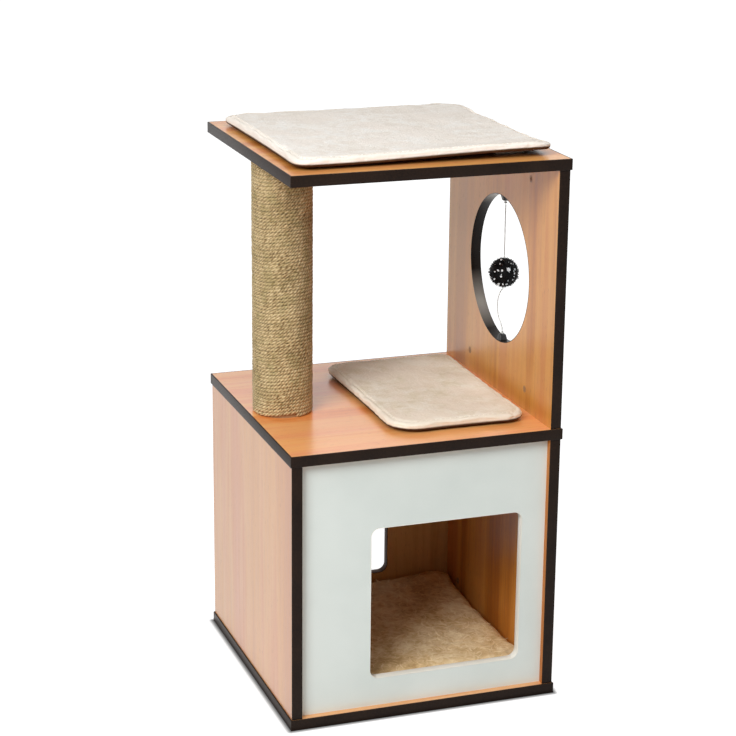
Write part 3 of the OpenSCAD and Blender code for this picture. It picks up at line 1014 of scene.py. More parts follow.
# Each board's tones are partly its own laminate and partly painted light and shade: the same laminate is set
# brighter on the deck and darker on the upright and the cabin's inner walls, to match how light falls on each
BOARD_WOOD = {
    "base_panel": LaminateWood(
        "wood_base", Axis.ALONG_X, 0.3, (226, 168, 112), (212, 146, 90), (194, 124, 70), (218, 148, 106),
        coat=0.3),
    "left_side_panel": LaminateWood(
        "wood_left_side", Axis.ALONG_Z, 1.1, (214, 154, 91), (202, 136, 77), (189, 120, 67), (209, 141, 94),
        streak_share=0.2, coat=0.4, broad=11.0),
    "right_side_panel": LaminateWood(
        "wood_right_side", Axis.ALONG_Z, 2.3, (224, 156, 74), (204, 131, 54), (178, 105, 40), (210, 135, 70),
        coat=0.05, broad=13.0, specular=0.15),
    "back_panel": LaminateWood(
        "wood_back", Axis.ALONG_Z, 3.7, (220, 178, 114), (206, 161, 98), (190, 144, 84), (212, 164, 108),
        streak_share=0.1, coat=0.1),
    "deck_panel": LaminateWood(
        "wood_deck", Axis.ALONG_X, 4.9, (250, 180, 109), (243, 157, 85), (230, 134, 63), (245, 161, 107),
        streak_share=0.12, coat=0.8),
    # The upright's pale spot, high at the back under the platform, is painted light over the platform's shade
    "upright_panel": LaminateWood(
        "wood_upright", Axis.ALONG_Z, 6.2, (210, 150, 72), (192, 125, 51), (171, 101, 38), (199, 130, 66),
        streak_share=0.4, coat=0.2, painted_light_spots=(((HOLE_X, 200 * MM, 660 * MM), 360 * MM),)),
    "top_platform": LaminateWood(
        "wood_platform", Axis.ALONG_X, 7.4, (238, 170, 93), (221, 144, 69), (199, 118, 51), (227, 146, 87),
        coat=0.45),
}
FRONT_COAT = PaintedPanel("front_coat", (233, 239, 233), (224, 231, 225))
OPENING_COAT = PaintedPanel("opening_coat", (244, 243, 233), (236, 234, 222))
BANDING = EdgeBanding("edge_banding")
WORN_BANDING = EdgeBanding("edge_banding_worn", (34, 25, 20), (56, 44, 37), 0.4)
# The hole lining's two pale spots, low and high on the back of the ring, are painted highlights
HOLE_BANDING = EdgeBanding("hole_banding", (17, 10, 7), (30, 20, 14), 0.3, 0.12,
                           painted_highlight_spots=(((HOLE_X, 78 * MM, 506 * MM), 50 * MM),
                                  ((HOLE_X, 40 * MM, 674 * MM), 35 * MM)))
BROWN_BANDING = EdgeBanding("brown_banding", (52, 30, 16), (84, 51, 28), 0.5)


def band_thickness() -> float:
    """Thickness of the edge banding, from the base panel and its band."""
    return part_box("base_panel")[0].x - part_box("base_edge_band")[0].x


@dataclass
class EdgeStrips:
    """Strips of edge banding glued round one board, with eased outer edges."""

    node: str
    all_round: bool
    ease: float = 0.55 * MM
    ease_steps: int = 3
    lip: float = 0.9 * MM
    proud: float = 0.06 * MM
    sharp_degrees: float = 50.0

    def strip(self, low: Vector, high: Vector, outward: Vector) -> Piece:
        """Models one strip.

        Args:
            low: Its lowest corner.
            high: Its highest corner.
            outward: Direction of its outer face.

        Returns:
            The strip.
        """
        piece = block(f"{self.node}_strip", low, high)
        reach = max(abs(low.dot(outward)), abs(high.dot(outward)))
        mark_edges(piece, lambda a, b: min(a.dot(outward), b.dot(outward)) > reach - HAIR)
        with editing(piece, "EDGE"):
            bpy.ops.mesh.bevel(offset=self.ease, segments=self.ease_steps, affect="EDGES")
        return piece

    def build(self) -> Piece:
        """Models all strips of the board and joins them.

        Returns:
            The strips.
        """
        low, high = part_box(self.node)
        thick = band_thickness()
        if self.all_round:
            thick += self.lip
            low.z = max(0.0, low.z - self.proud)
            high.z += self.proud
        strips = []
        for side in (-1, 1):
            inner, outer = (high.y - thick, high.y) if side > 0 else (low.y, low.y + thick)
            strips.append(self.strip(Vector((low.x, inner, low.z)), Vector((high.x, outer, high.z)),
                                     Vector((0, side, 0))))
            if self.all_round:
                inner, outer = (high.x - thick, high.x) if side > 0 else (low.x, low.x + thick)
                strips.append(self.strip(Vector((inner, low.y + thick, low.z)),
                                         Vector((outer, high.y - thick, high.z)), Vector((side, 0, 0))))
        piece = smooth(join(strips, f"{self.node}ing"), self.sharp_degrees)
        dress(piece, BANDING, WORN_BANDING)
        for face in piece.data.polygons:
            face.material_index = int(max(map(abs, face.normal)) < DEAD_SQUARE)
        return add_piece(piece, BASE_BODY, "dark_edging", self.node)


@dataclass
class OpeningLining:
    """Band that lines a rounded square opening in a panel."""

    node: str
    finish: Finish
    slot: str
    corner: float = 13 * MM
    corner_steps: int = 10
    proud: float = 0.2 * MM
    ease: float = 0.3 * MM

    def build(self) -> Piece:
        """Models the lining.

        Returns:
            The lining.
        """
        low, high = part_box(self.node)
        size = high - low
        front = Vector(((low.x + high.x) / 2, low.y - self.proud, (low.z + high.z) / 2))
        piece = rounded_plate(f"{self.node}_lining", front, (size.x, size.z), (self.corner,) * 4,
                              self.corner_steps, (QUARTER_TURN, 0, 0))
        mark_all(piece)
        with editing(piece):
            bpy.ops.mesh.delete(type="ONLY_FACE")
            bpy.ops.mesh.select_mode(type="EDGE")
            bpy.ops.mesh.select_all(action="SELECT")
            bpy.ops.mesh.extrude_region_move(
                TRANSFORM_OT_translate={"value": (0, size.y + 2 * self.proud, 0)})
        face_outwards(piece)
        apply_modifier(piece, "SOLIDIFY", thickness=band_thickness(), offset=-1.0)
        ease_edges(piece, self.ease)
        dress(smooth(piece), self.finish)
        return add_piece(piece, BASE_BODY, self.slot, self.node)


@dataclass
class HoleLining:
    """Band that lines the round hole of the upright panel."""

    node: str = "upright_hole_band"
    facets: int = 192
    proud: float = 0.2 * MM
    ease: float = 0.35 * MM

    def build(self) -> Piece:
        """Models the lining.

        Returns:
            The lining.
        """
        low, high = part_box(self.node)
        deselect()
        bpy.ops.mesh.primitive_cylinder_add(
            vertices=self.facets, radius=(high.y - low.y) / 2, depth=high.x - low.x + 2 * self.proud,
            end_fill_type="NOTHING", location=(low + high) / 2, rotation=(0, QUARTER_TURN, 0))
        piece = settle(named("upright_hole_lining"))
        apply_modifier(piece, "SOLIDIFY", thickness=band_thickness(), offset=-1.0)
        ease_edges(piece, self.ease)
        dress(smooth(piece), HOLE_BANDING)
        return add_piece(piece, BASE_BODY, "dark_edging", self.node)


@dataclass
class Boards:
    """The flat and standing boards with their banding and linings."""

    flat_bands: tuple[str, ...] = ("base_edge_band", "deck_edge_band", "platform_edge_band")
    upright_bands: tuple[str, ...] = ("left_side_edge_band", "right_side_edge_band", "upright_edge_band")

    def build(self) -> None:
        """Dresses the boards and models what edges them."""
        for node, wood in BOARD_WOOD.items():
            dress(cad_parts[node], wood)
        dress(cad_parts["front_panel"], FRONT_COAT)
        for node in self.flat_bands:
            EdgeStrips(node, True).build()
        for node in self.upright_bands:
            EdgeStrips(node, False).build()
        OpeningLining("front_opening_band", OPENING_COAT, "pale_edging").build()
        OpeningLining("back_opening_band", BROWN_BANDING, "dark_edging").build()
        HoleLining().build()


# Scratching post and fittings

CARD = SmallStuff("post_card", (176, 140, 100), (150, 114, 78), 0.9, 240.0, 0.15)
BEECH = SmallStuff("turned_beech", (224, 188, 138), (204, 162, 110), 0.6, 300.0, 0.12, stretch=(1, 1, 0.15))
ZINC = SmallStuff("zinc_plate", (176, 176, 180), (120, 120, 126), 0.42, 500.0, 0.05, metal=1.0)
CAM_ZINC = SmallStuff("cam_zinc", (184, 142, 100), (142, 102, 66), 0.5, 500.0, 0.05)
LOOP_TAPE = SmallStuff("loop_weave", (236, 231, 220), (206, 199, 186), 0.95, 2400.0, 0.5)
HOOK_TAPE = SmallStuff("hook_weave", (166, 152, 134), (116, 104, 90), 0.7, 1500.0, 0.6)


@dataclass
class SisalWinding:
    """Rope wound round the post, level but for one step up in each turn."""

    node: str = "sisal_rope"
    tube: str = "post_tube"
    turns: int = 73
    rope: float = 6.6 * MM
    outer: float = 42.3 * MM
    gap: float = 0.3 * MM
    steps: int = 196
    strands: Strands = Strands(3, 9, 16 * MM, 0.19, Twist.LEVEL, 0.5)
    step_share: float = 0.22
    start_angle: float = math.radians(-76)
    unevenness: float = 0.2 * MM
    loose_outwards: float = 0.4 * MM
    loose_upwards: float = 0.6 * MM
    swell: Range = (130.0, 0.05)

    def line(self) -> list[Point]:
        """Draws the centreline of the whole rope, from the deck up.

        Returns:
            Its points.
        """
        low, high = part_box(self.tube)
        middle = (low + high) / 2
        radius = self.outer - self.rope / 2
        pitch = (high.z - low.z - 2 * self.gap - self.rope) / (self.turns - 1)
        start = low.z + self.gap + self.rope / 2
        points = []
        for step in range(int((self.turns - self.step_share) * self.steps) + 1):
            turn, part = divmod(step / self.steps, 1.0)
            height = start + pitch * (turn + eased(max(0.0, (part - 1 + self.step_share) / self.step_share)))
            angle = self.start_angle + FULL_TURN * part
            across, along = math.cos(angle), math.sin(angle)
            spot = Vector((across, along, height * 9))
            loose = Vector((3 * across, 3 * along, turn * 1.7))
            reach = (radius + self.unevenness * noise.noise(spot * 2.1)
                     + self.loose_outwards * noise.noise(loose * 1.9))
            points.append((middle.x + reach * across, middle.y + reach * along,
                           height + self.unevenness * noise.noise(spot * 1.3 + Vector((7, 0, 0)))
                           + self.loose_upwards * noise.noise(loose)))
        return points

    def build(self) -> None:
        """Models the winding in two lengths, which meet end to end."""
        line = self.line()
        half = len(line) // 2
        fibre = SisalFibre("sisal_fibre", half * math.dist(line[0], line[1]), math.pi * self.rope,
                           self.strands.count)
        for name, part in (("sisal_winding_lower", line[:half + 1]), ("sisal_winding_upper", line[half:])):
            piece = self.strands.tube(name, part, self.rope / 2 / (1 + self.strands.lobe),
                                      swell=1 + noise_at(part, self.swell))
            dress(piece, fibre)
            add_piece(piece, BASE_BODY, "sisal", self.node)


@dataclass
class Fittings:
    """CAD fittings that keep their solids, with their finishes."""

    finishes: dict[str, Finish] = field(default_factory=lambda: {
        "post_tube": CARD,
        "post_top_plug": BEECH,
        "post_bottom_plug": BEECH,
        "side_dowels": BEECH,
        "upright_dowels": BEECH,
        "panel_dowels": BEECH,
        "post_inserts": ZINC,
        "post_top_bolt": ZINC,
        "post_bottom_bolt": ZINC,
        "side_cam_bolts": ZINC,
        "upright_cam_bolts": ZINC,
        "side_cam_nuts": CAM_ZINC,
        "upright_cam_nuts": CAM_ZINC,
        "top_loop_pads": LOOP_TAPE,
        "deck_loop_pads": LOOP_TAPE,
        "top_hook_pads": HOOK_TAPE,
        "deck_hook_pads": HOOK_TAPE,
    })

    def build(self) -> None:
        """Dresses the fittings."""
        for node, finish in self.finishes.items():
            dress(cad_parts[node], finish)


# Cushions

CREAM = Fleece("cream_pile", (255, 250, 243), (252, 245, 236), (245, 236, 225), (252, 243, 233),
               (252, 243, 232))
BEIGE = Fleece("beige_pile", (247, 243, 229), (240, 234, 216), (229, 222, 199), (243, 234, 218),
               (240, 233, 217), depth=1.5)
HEM_THREAD = SmallStuff("hem_thread", (236, 227, 212), (214, 203, 186), 0.85, 3000.0, 0.1)
PLUSH = CurledPlush("curled_pile")


@dataclass
class Cushion:
    """Padded piece that air pressure fills in a cloth simulation, in the space of its CAD solid."""

    name: str
    node: str
    body: str
    slot: str
    finish: Finish
    corners: Corners
    voxel: float
    pressure: float
    most_move: float
    fill: float
    edge: float
    lift: Callable[[np.ndarray], np.ndarray]
    crown: float = 0.0
    draw_in: float = 3 * MM
    margin: float = 2 * MM
    frames: int = 20
    corner_steps: int = 6
    edge_steps: int = 3

    def blank(self, low: Vector, high: Vector) -> Piece:
        """Models the empty cover, a little smaller than the filled one.

        Args:
            low: Lowest corner of the CAD solid.
            high: Highest corner of the CAD solid.

        Returns:
            The cover, remeshed evenly.
        """
        seat = Vector(((low.x + high.x) / 2, (low.y + high.y) / 2, low.z))
        size = (high.x - low.x - 2 * self.margin, high.y - low.y - 2 * self.margin)
        height = high.z - low.z - self.margin
        piece = rounded_plate(self.name, seat, size, self.corners, self.corner_steps)
        mark_all(piece)
        with editing(piece):
            bpy.ops.mesh.extrude_region_move(TRANSFORM_OT_translate={"value": (0, 0, height)})
        face_outwards(piece)
        mark_edges(piece, lambda a, b: abs(a.z - b.z) < self.margin / 4)
        with editing(piece, "EDGE"):
            bpy.ops.mesh.bevel(offset=self.edge, segments=self.edge_steps, affect="EDGES")
        piece.data.remesh_voxel_size = self.voxel
        take(piece)
        bpy.ops.object.voxel_remesh()
        return piece

    def inflate(self, piece: Piece, seat: float) -> None:
        """Fills the cover by a cloth simulation, with its seat held.

        Args:
            piece: The cover.
            seat: Height of the seat.
        """
        rest = points_of(piece)
        held = piece.vertex_groups.new(name="seat")
        held.add([int(i) for i in np.nonzero(rest[:, 2] < seat + self.voxel / 3)[0]], 1.0, "REPLACE")
        cloth = piece.modifiers.new("Fill", "CLOTH")
        stuff = cloth.settings
        stuff.quality = 6
        stuff.mass = 0.25
        stuff.tension_stiffness = stuff.compression_stiffness = 14.0
        stuff.bending_stiffness = 0.4
        stuff.use_pressure = True
        stuff.uniform_pressure_force = self.pressure
        stuff.shrink_min = -0.012
        stuff.effector_weights.gravity = 0.0
        stuff.vertex_group_mass = held.name
        for number in range(1, self.frames + 1):
            bpy.context.scene.frame_set(number)
        take(piece)
        bpy.ops.object.modifier_apply(modifier=cloth.name)
        bpy.context.scene.frame_set(1)
        move = points_of(piece) - rest
        length = np.linalg.norm(move, axis=1, keepdims=True)
        set_points(piece, rest + move * np.minimum(1.0, self.most_move / np.maximum(length, HAIR)))
        piece.vertex_groups.clear()

    def fit_box(self, piece: Piece, low: Vector, high: Vector) -> None:
        """Brings the filled piece to its CAD box, with its sides drawn in between the corners.

        Args:
            piece: The filled piece.
            low: Lowest corner of the CAD solid.
            high: Highest corner of the CAD solid.
        """
        at = points_of(piece)
        top = np.array((high.x, high.y, high.z + self.crown))
        middle = (np.array(low) + top) / 2
        half = (top - np.array(low)) / 2
        mine_low, mine_high = at.min(0), at.max(0)
        at = (at - (mine_low + mine_high) / 2) / ((mine_high - mine_low) / 2)
        shy = at.copy()
        for axis, other in ((0, 1), (1, 0)):
            shy[:, axis] *= 1 - self.draw_in / half[axis] * (1 - np.clip(at[:, other], -1, 1) ** 2)
        set_points(piece, shy * half + middle)

    def inside(self, at: np.ndarray, low: Vector, high: Vector) -> np.ndarray:
        """How far points lie inside the cushion's outline, seen from above.

        Args:
            at: The points.
            low: Lowest corner of the CAD solid.
            high: Highest corner of the CAD solid.

        Returns:
            A distance for each point.
        """
        middle = (np.array(low) + np.array(high)) / 2
        half = (np.array(high) - np.array(low)) / 2
        off = at[:, :2] - middle[:2]
        radius = np.zeros(len(at))
        for (across, along), corner in zip(CORNER_SIDES, self.corners):
            radius[(off[:, 0] * across >= 0) & (off[:, 1] * along >= 0)] = corner
        past = np.abs(off) - half[:2] + radius[:, None]
        return radius - np.linalg.norm(np.maximum(past, 0), axis=1) - np.minimum(past.max(1), 0)

    @staticmethod
    def laid(top: BVHTree, x: float, y: float, heading: float) -> Matrix:
        """Place and turn of a small thing that lies on top of the cushion.

        Args:
            top: Tree of the cushion's faces.
            x: Where it lies, in X.
            y: Where it lies, in Y.
            heading: Direction that it lies along, in radians from X.

        Returns:
            The matrix of its place.
        """
        above = Vector((x, y, 2.0))
        place, normal, _, _ = top.ray_cast(above, Vector((0, 0, -1)))
        return Matrix.Translation(place) @ upright_on(normal) @ Matrix.Rotation(heading, 4, "Z")

    def finish_shape(self, piece: Piece, low: Vector, high: Vector) -> None:
        """Seams and surface of this kind of cushion, after the filling."""

    def build(self) -> Piece:
        """Models, fills and dresses the cushion.

        Returns:
            The cushion.
        """
        low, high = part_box(self.node)
        piece = self.blank(low, high)
        self.inflate(piece, low.z)
        apply_modifier(piece, "SUBSURF", levels=1, render_levels=1)
        self.fit_box(piece, low, high)
        self.finish_shape(piece, low, high)
        smooth_all(piece)
        dress(piece, self.finish)
        add_piece(piece, self.body, self.slot, self.node)
        return piece


@dataclass
class FleeceMat(Cushion):
    """Thin fleece mat with a stitched hem."""

    hem: float = 10 * MM
    groove: float = 1.1 * MM
    groove_half: float = 1.8 * MM
    wave: float = 0.8 * MM
    waves: tuple[Range, ...] = ((17.0, 1.0), (41.0, 0.5))
    fuzz: float = 0.3 * MM
    fuzzes: tuple[Range, ...] = ((130.0, 1.0), (290.0, 0.6))
    fuzz_from: float = 0.15
    top_tilt: Range = (0.2, 0.7)
    settled_hems: float = 4.0
    full_hems: float = 0.6
    fading_hems: Range = (1.1, 0.6)
    hem_low: float = 0.35
    rim_shade_reach: Range = (0.36, 0.24)
    rim: float = 0.62
    seam: float = 1.8 * MM
    stitch_pitch: float = 7 * MM
    stitch: float = 4.2 * MM
    stitch_bulge: float = 1.12
    thread: float = 0.45 * MM
    thread_sides: int = 6

    def finish_shape(self, piece: Piece, low: Vector, high: Vector) -> None:
        """Thins the rim, presses in the stitched hem, lets the top wave a little and lifts loose edges.

        Args:
            piece: The filled mat.
            low: Lowest corner of the CAD solid.
            high: Highest corner of the CAD solid.
        """
        at = points_of(piece)
        normal = normals_of(piece)
        up = share(at[:, 2], low.z, high.z)
        deep = self.inside(at, low, high)
        top = share(normal[:, 2], *self.top_tilt)
        groove = np.exp(-((deep - self.hem) / self.groove_half) ** 2)
        wave = noise_at(at, *self.waves)
        fuzz = noise_at(at, *self.fuzzes)
        settled = share(deep, self.hem, self.settled_hems * self.hem)
        full = eased(share(deep, 0, self.full_hems * self.hem))
        at[:, 2] = low.z + (at[:, 2] - low.z) * (self.rim + (1 - self.rim) * full) + self.seam * (1 - full)
        at += normal * (self.fuzz * fuzz * share(up, 0, self.fuzz_from))[:, None]
        at[:, 2] += top * (wave * self.wave * settled - self.groove * groove)
        at[:, 2] += self.lift(at)
        set_points(piece, at)
        edge = share(deep, *(hems * self.hem for hems in self.fading_hems))
        store(piece, "hem", edge * (self.hem_low + (1 - self.hem_low) * up))
        # The rim's lower part and the underside take painted shade for the gap under the mat's edge
        store(piece, "backing", share(up, *self.rim_shade_reach))

    def stitches(self, piece: Piece) -> Piece:
        """Models the thread of the hem's stitches along its groove.

        Args:
            piece: The finished mat.

        Returns:
            The stitches, joined.
        """
        low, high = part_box(self.node)
        middle = (low + high) / 2
        radius = sum(self.corners) / 4 - self.hem
        straight = tuple(side - 2 * self.hem - self.draw_in - 2 * radius
                         for side in (high.x - low.x, high.y - low.y))
        whole = 2 * sum(straight) + FULL_TURN * radius
        deselect()
        bpy.ops.mesh.primitive_cylinder_add(vertices=self.thread_sides, radius=self.thread, depth=self.stitch,
                                            rotation=(0, QUARTER_TURN, 0))
        one = settle(named(f"{self.name}_stitch"))
        mark_faces(one, lambda _middle, normal: abs(normal.x) > SQUARE)
        with editing(one):
            bpy.ops.mesh.inset(thickness=self.thread / 2)
            bpy.ops.transform.resize(value=(self.stitch_bulge, 1, 1))
        count = round(whole / self.stitch_pitch)
        top = BVHTree.FromObject(piece, bpy.context.evaluated_depsgraph_get())
        copies = []
        for number in range(count):
            (x, y), heading = self.on_hem(whole * number / count, straight, radius)
            copies.append(copy_of(one, self.laid(top, middle.x + x, middle.y + y, heading)))
        bpy.data.objects.remove(one)
        thread = settle(join(copies, f"{self.name}_stitches"))
        dress(smooth(thread), HEM_THREAD)
        return add_piece(thread, self.body, self.slot)

    @staticmethod
    def on_hem(run: float, straight: Range, radius: float) -> tuple[Range, float]:
        """Point and heading at a distance along a rounded rectangle, from the left end of its front side.

        Args:
            run: Distance along it.
            straight: Lengths of its straight sides, along X and along Y.
            radius: Its corner radius.

        Returns:
            The point about the rectangle's middle, and the heading in radians.
        """
        arc = QUARTER_TURN * radius
        heading = 0.0
        x, y = -straight[0] / 2, -straight[1] / 2 - radius
        for side in range(4):
            length = straight[side % 2]
            if run <= length:
                return (x + run * math.cos(heading), y + run * math.sin(heading)), heading
            run -= length
            x, y = x + length * math.cos(heading), y + length * math.sin(heading)
            cx, cy = x - radius * math.sin(heading), y + radius * math.cos(heading)
            if run <= arc:
                turn = heading + run / radius
                return (cx + radius * math.sin(turn), cy - radius * math.cos(turn)), turn
            run -= arc
            heading += QUARTER_TURN
            x, y = cx + radius * math.sin(heading), cy - radius * math.cos(heading)
        return (x, y), heading

    def build(self) -> Piece:
        """Models the mat and its stitches.

        Returns:
            The mat.
        """
        piece = super().build()
        self.stitches(piece)
        return piece


@dataclass
class PlushCushion(Cushion):
    """Thick cushion with a curled pile and locks of it that lie on top."""

    curl: float = 1.6 * MM
    sideways: float = 0.3
    swirl_scale: float = 20.0
    swirl_reach: float = 1.8
    lumps: tuple[Range, ...] = ((36.0, 1.0), (90.0, 0.4))
    curl_scale: float = 55.0
    curl_swirl: float = 1.4
    curl_width: float = 0.22
    lock: Point = (26 * MM, 3.6 * MM, 0.6 * MM)
    lock_bend: float = 0.9
    lock_tip: float = 0.12
    lock_sunk: float = 0.5 * MM
    lock_sizes: Range = (0.6, 1.25)
    locks_apart: float = 11 * MM
    locks_inset: float = 9 * MM
    heading_scale: float = 13.0
    heading_play: float = 0.35
    seed: int = 3

    def finish_shape(self, piece: Piece, low: Vector, high: Vector) -> None:
        """Raises soft lumps of pile on the top and sides, and keeps where its curls lie.

        Args:
            piece: The filled cushion.
            low: Lowest corner of the CAD solid.
            high: Highest corner of the CAD solid.
        """
        at = points_of(piece)
        normal = normals_of(piece)
        above = share(at[:, 2], low.z, low.z + 0.3 * (high.z - low.z))
        # The vector noise starts from the clock unless it is given a seed
        noise.seed_set(self.seed)
        lump, curl = np.empty(len(at)), np.empty(len(at))
        for number, p in enumerate(at):
            spot = Vector(p)
            swirl = noise.noise_vector(spot * self.swirl_scale) * self.swirl_reach
            lump[number] = sum(weight * noise.noise(spot * scale + swirl) for scale, weight in self.lumps)
            off = noise.noise(spot * self.curl_scale + swirl * self.curl_swirl) / self.curl_width
            curl[number] = math.exp(-off ** 2)
        outward = normal * (self.sideways, self.sideways, 1.0)
        at += outward * (lump * self.curl * above)[:, None]
        at[:, 2] += self.lift(at) * above
        set_points(piece, at)
        store(piece, "curl", 0.5 * curl)

    def lock_stock(self) -> Piece:
        """Models one lock of pile, arched and curled, which lies along X.

        Returns:
            The lock.
        """
        length, width, height = self.lock
        deselect()
        bpy.ops.mesh.primitive_grid_add(x_subdivisions=6, y_subdivisions=2, size=1)
        piece = named("plush_lock")
        at = points_of(piece)
        run, side = at[:, 0] + 0.5, 2 * at[:, 1]
        swell = np.sin(np.pi * run ** 0.7)
        ridge = swell * (1 - np.abs(side))
        bend = self.lock_bend * (run - 0.4) ** 2
        across = width / 2 * side * (self.lock_tip + swell) + bend * length
        set_points(piece, np.stack([length * at[:, 0], across,
                                    height * ridge - self.lock_sunk * (1 - ridge)], axis=1))
        # Paler along the lock's ridge and darker down its sunk sides: painted shade that follows the lock's
        # height
        store(piece, "curl", 0.3 + 0.6 * ridge)
        return piece

    def pile(self, piece: Piece) -> Piece:
        """Lays locks of pile over the top, in swirls.

        Args:
            piece: The finished cushion.

        Returns:
            The locks, joined.
        """
        low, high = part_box(self.node)
        draw = random.Random(self.seed)
        stock = self.lock_stock()
        top = BVHTree.FromObject(piece, bpy.context.evaluated_depsgraph_get())
        copies = []
        for row in range(int((high.y - low.y) / self.locks_apart)):
            for column in range(int((high.x - low.x) / self.locks_apart)):
                spot = np.array([[low.x + (column + draw.random()) * self.locks_apart,
                                  low.y + (row + draw.random()) * self.locks_apart, 0.0]])
                swirl = noise.noise_vector(Vector(spot[0]) * self.heading_scale)
                heading = math.atan2(swirl.y, swirl.x) + draw.gauss(0, self.heading_play)
                size = draw.uniform(*self.lock_sizes)
                if self.inside(spot, low, high)[0] < self.locks_inset + self.lock[0] / 2 * size:
                    continue
                copies.append(copy_of(stock, self.laid(top, *spot[0, :2], heading) @ Matrix.Scale(size, 4)))
        bpy.data.objects.remove(stock)
        locks = settle(join(copies, f"{self.name}_pile"))
        smooth_all(locks)
        dress(locks, self.finish)
        return add_piece(locks, self.body, self.slot)

    def build(self) -> Piece:
        """Models the cushion and its locks of pile.

        Returns:
            The cushion.
        """
        piece = super().build()
        self.pile(piece)
        return piece


def top_lift(at: np.ndarray) -> np.ndarray:
    """How far the top mat's loose front edge stands up.

    Args:
        at: Points of the mat.

    Returns:
        A height for each point.
    """
    right = share(at[:, 0], -130 * MM, 130 * MM)
    front = share(at[:, 1], -112 * MM, -178 * MM)
    return (1.5 * MM + 6 * MM * eased(right)) * front ** 2


def deck_lift(at: np.ndarray) -> np.ndarray:
    """How far the deck mat's loose back corner stands up.

    Args:
        at: Points of the mat.

    Returns:
        A height for each point.
    """
    left = share(at[:, 0], 0, -45 * MM)
    back = share(at[:, 1], 50 * MM, 150 * MM)
    return 4 * MM * left ** 2 * back ** 2


def cabin_lift(at: np.ndarray) -> np.ndarray:
    """How far the cabin pad's plump back corner stands up.

    Args:
        at: Points of the pad.

    Returns:
        A height for each point.
    """
    right = share(at[:, 0], 10 * MM, 160 * MM)
    back = share(at[:, 1], 20 * MM, 170 * MM)
    return 5.5 * MM * eased(right) * eased(back)


CUSHIONS = (
    FleeceMat("top_mat", "top_cushion", "top_cushion", "cream_fleece", CREAM, corners=(24 * MM,) * 4,
              voxel=4 * MM, pressure=2.0, most_move=2 * MM, fill=0.5, edge=1.6 * MM, lift=top_lift),
    FleeceMat("deck_mat", "deck_cushion", "deck_cushion", "beige_fleece", BEIGE,
              corners=(44 * MM, 32 * MM, 18 * MM, 32 * MM), voxel=3.2 * MM, pressure=2.0, most_move=2 * MM,
              fill=0.45, edge=1.6 * MM, lift=deck_lift),
    PlushCushion("cabin_pad", "cabin_cushion", "cabin_cushion", "beige_plush", PLUSH, corners=(24 * MM,) * 4,
                 voxel=5 * MM, pressure=3.0, most_move=5 * MM, fill=0.6, edge=6 * MM, lift=cabin_lift,
                 crown=4 * MM, draw_in=5 * MM),
)


# Hanging toy

BLACK_PLASTIC = SmallStuff("moulded_black", (26, 26, 27), (12, 12, 13), 0.4, 900.0, 0.06)
STRING = SmallStuff("pale_string", (252, 252, 250), (238, 238, 234), 0.85, 3000.0, 0.12, specular=0.1,
                    through=0.5)
TINSEL_BLACK = SmallStuff("tinsel_black", (11, 11, 12), (3, 3, 4), 0.5, 900.0, 0.1, specular=0.1)
TINSEL_SILVER = SmallStuff("tinsel_silver", (246, 252, 255), (230, 238, 243), 0.4, 900.0, 0.02)
TWINE = Strands(2, 8, 4.5 * MM, 0.14)


@dataclass
class StringRun:
    """One length of the toy's string: two strands twisted together."""

    name: str
    node: str
    route: tuple[Point, ...]
    lay_word: str
    diameter: float = 1.5 * MM
    radius_share: float = 0.57
    step: float = 0.45 * MM

    def line(self) -> list[Point]:
        """Draws a smooth curve through the route.

        Returns:
            Close points along it, in metres.
        """
        knots = [Vector(p) * MM for p in self.route]
        ends = [2 * knots[0] - knots[1], *knots, 2 * knots[-1] - knots[-2]]
        points = []
        for a, b, c, d in zip(ends, ends[1:], ends[2:], ends[3:]):
            count = max(1, round((c - b).length / self.step))
            for number in range(count):
                t = number / count
                points.append(0.5 * (2 * b + (c - a) * t + (2 * a - 5 * b + 4 * c - d) * t * t
                                     + (3 * b - a - 3 * c + d) * t ** 3))
        return [tuple(p) for p in [*points, knots[-1]]]

    def build(self) -> Piece:
        """Returns:
            The string.
        """
        line = self.line()
        piece = TWINE.tube(self.name, line, self.radius_share * self.diameter)
        dress(piece, STRING)
        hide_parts(self.node)
        return piece


@dataclass
class StringKnot:
    """Overhand knot with a short end that runs on into its clip, above it or below."""

    name: str
    node: str
    body: str
    clip_above: bool
    cord: float = 0.72 * MM
    steps: int = 72
    flatness: float = 1.5
    end_step: float = 0.5 * MM
    end_from: int = -4
    end_to: int = 8

    def build(self) -> Piece:
        """Models the knot.

        Returns:
            The knot.
        """
        low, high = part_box(self.node)
        middle = (low + high) / 2
        scale = ((high.x - low.x) / 2 - self.cord) / 3
        ring = []
        for step in range(self.steps):
            t = FULL_TURN * step / self.steps
            ring.append((middle.x + scale * (math.sin(t) + 2 * math.sin(2 * t)),
                         middle.y + scale * (math.cos(t) - 2 * math.cos(2 * t)),
                         middle.z - self.flatness * scale * math.sin(3 * t)))
        rise = self.end_step if self.clip_above else -self.end_step
        end = [(middle.x, middle.y, middle.z + rise * k) for k in range(self.end_from, self.end_to + 1)]
        radius = self.cord / (1 + TWINE.lobe)
        piece = join([TWINE.tube(self.name, ring, radius, closed=True),
                      TWINE.tube(f"{self.name}_end", end, radius)], self.name)
        dress(piece, STRING)
        return add_piece(piece, self.body, "string_cord", self.node)


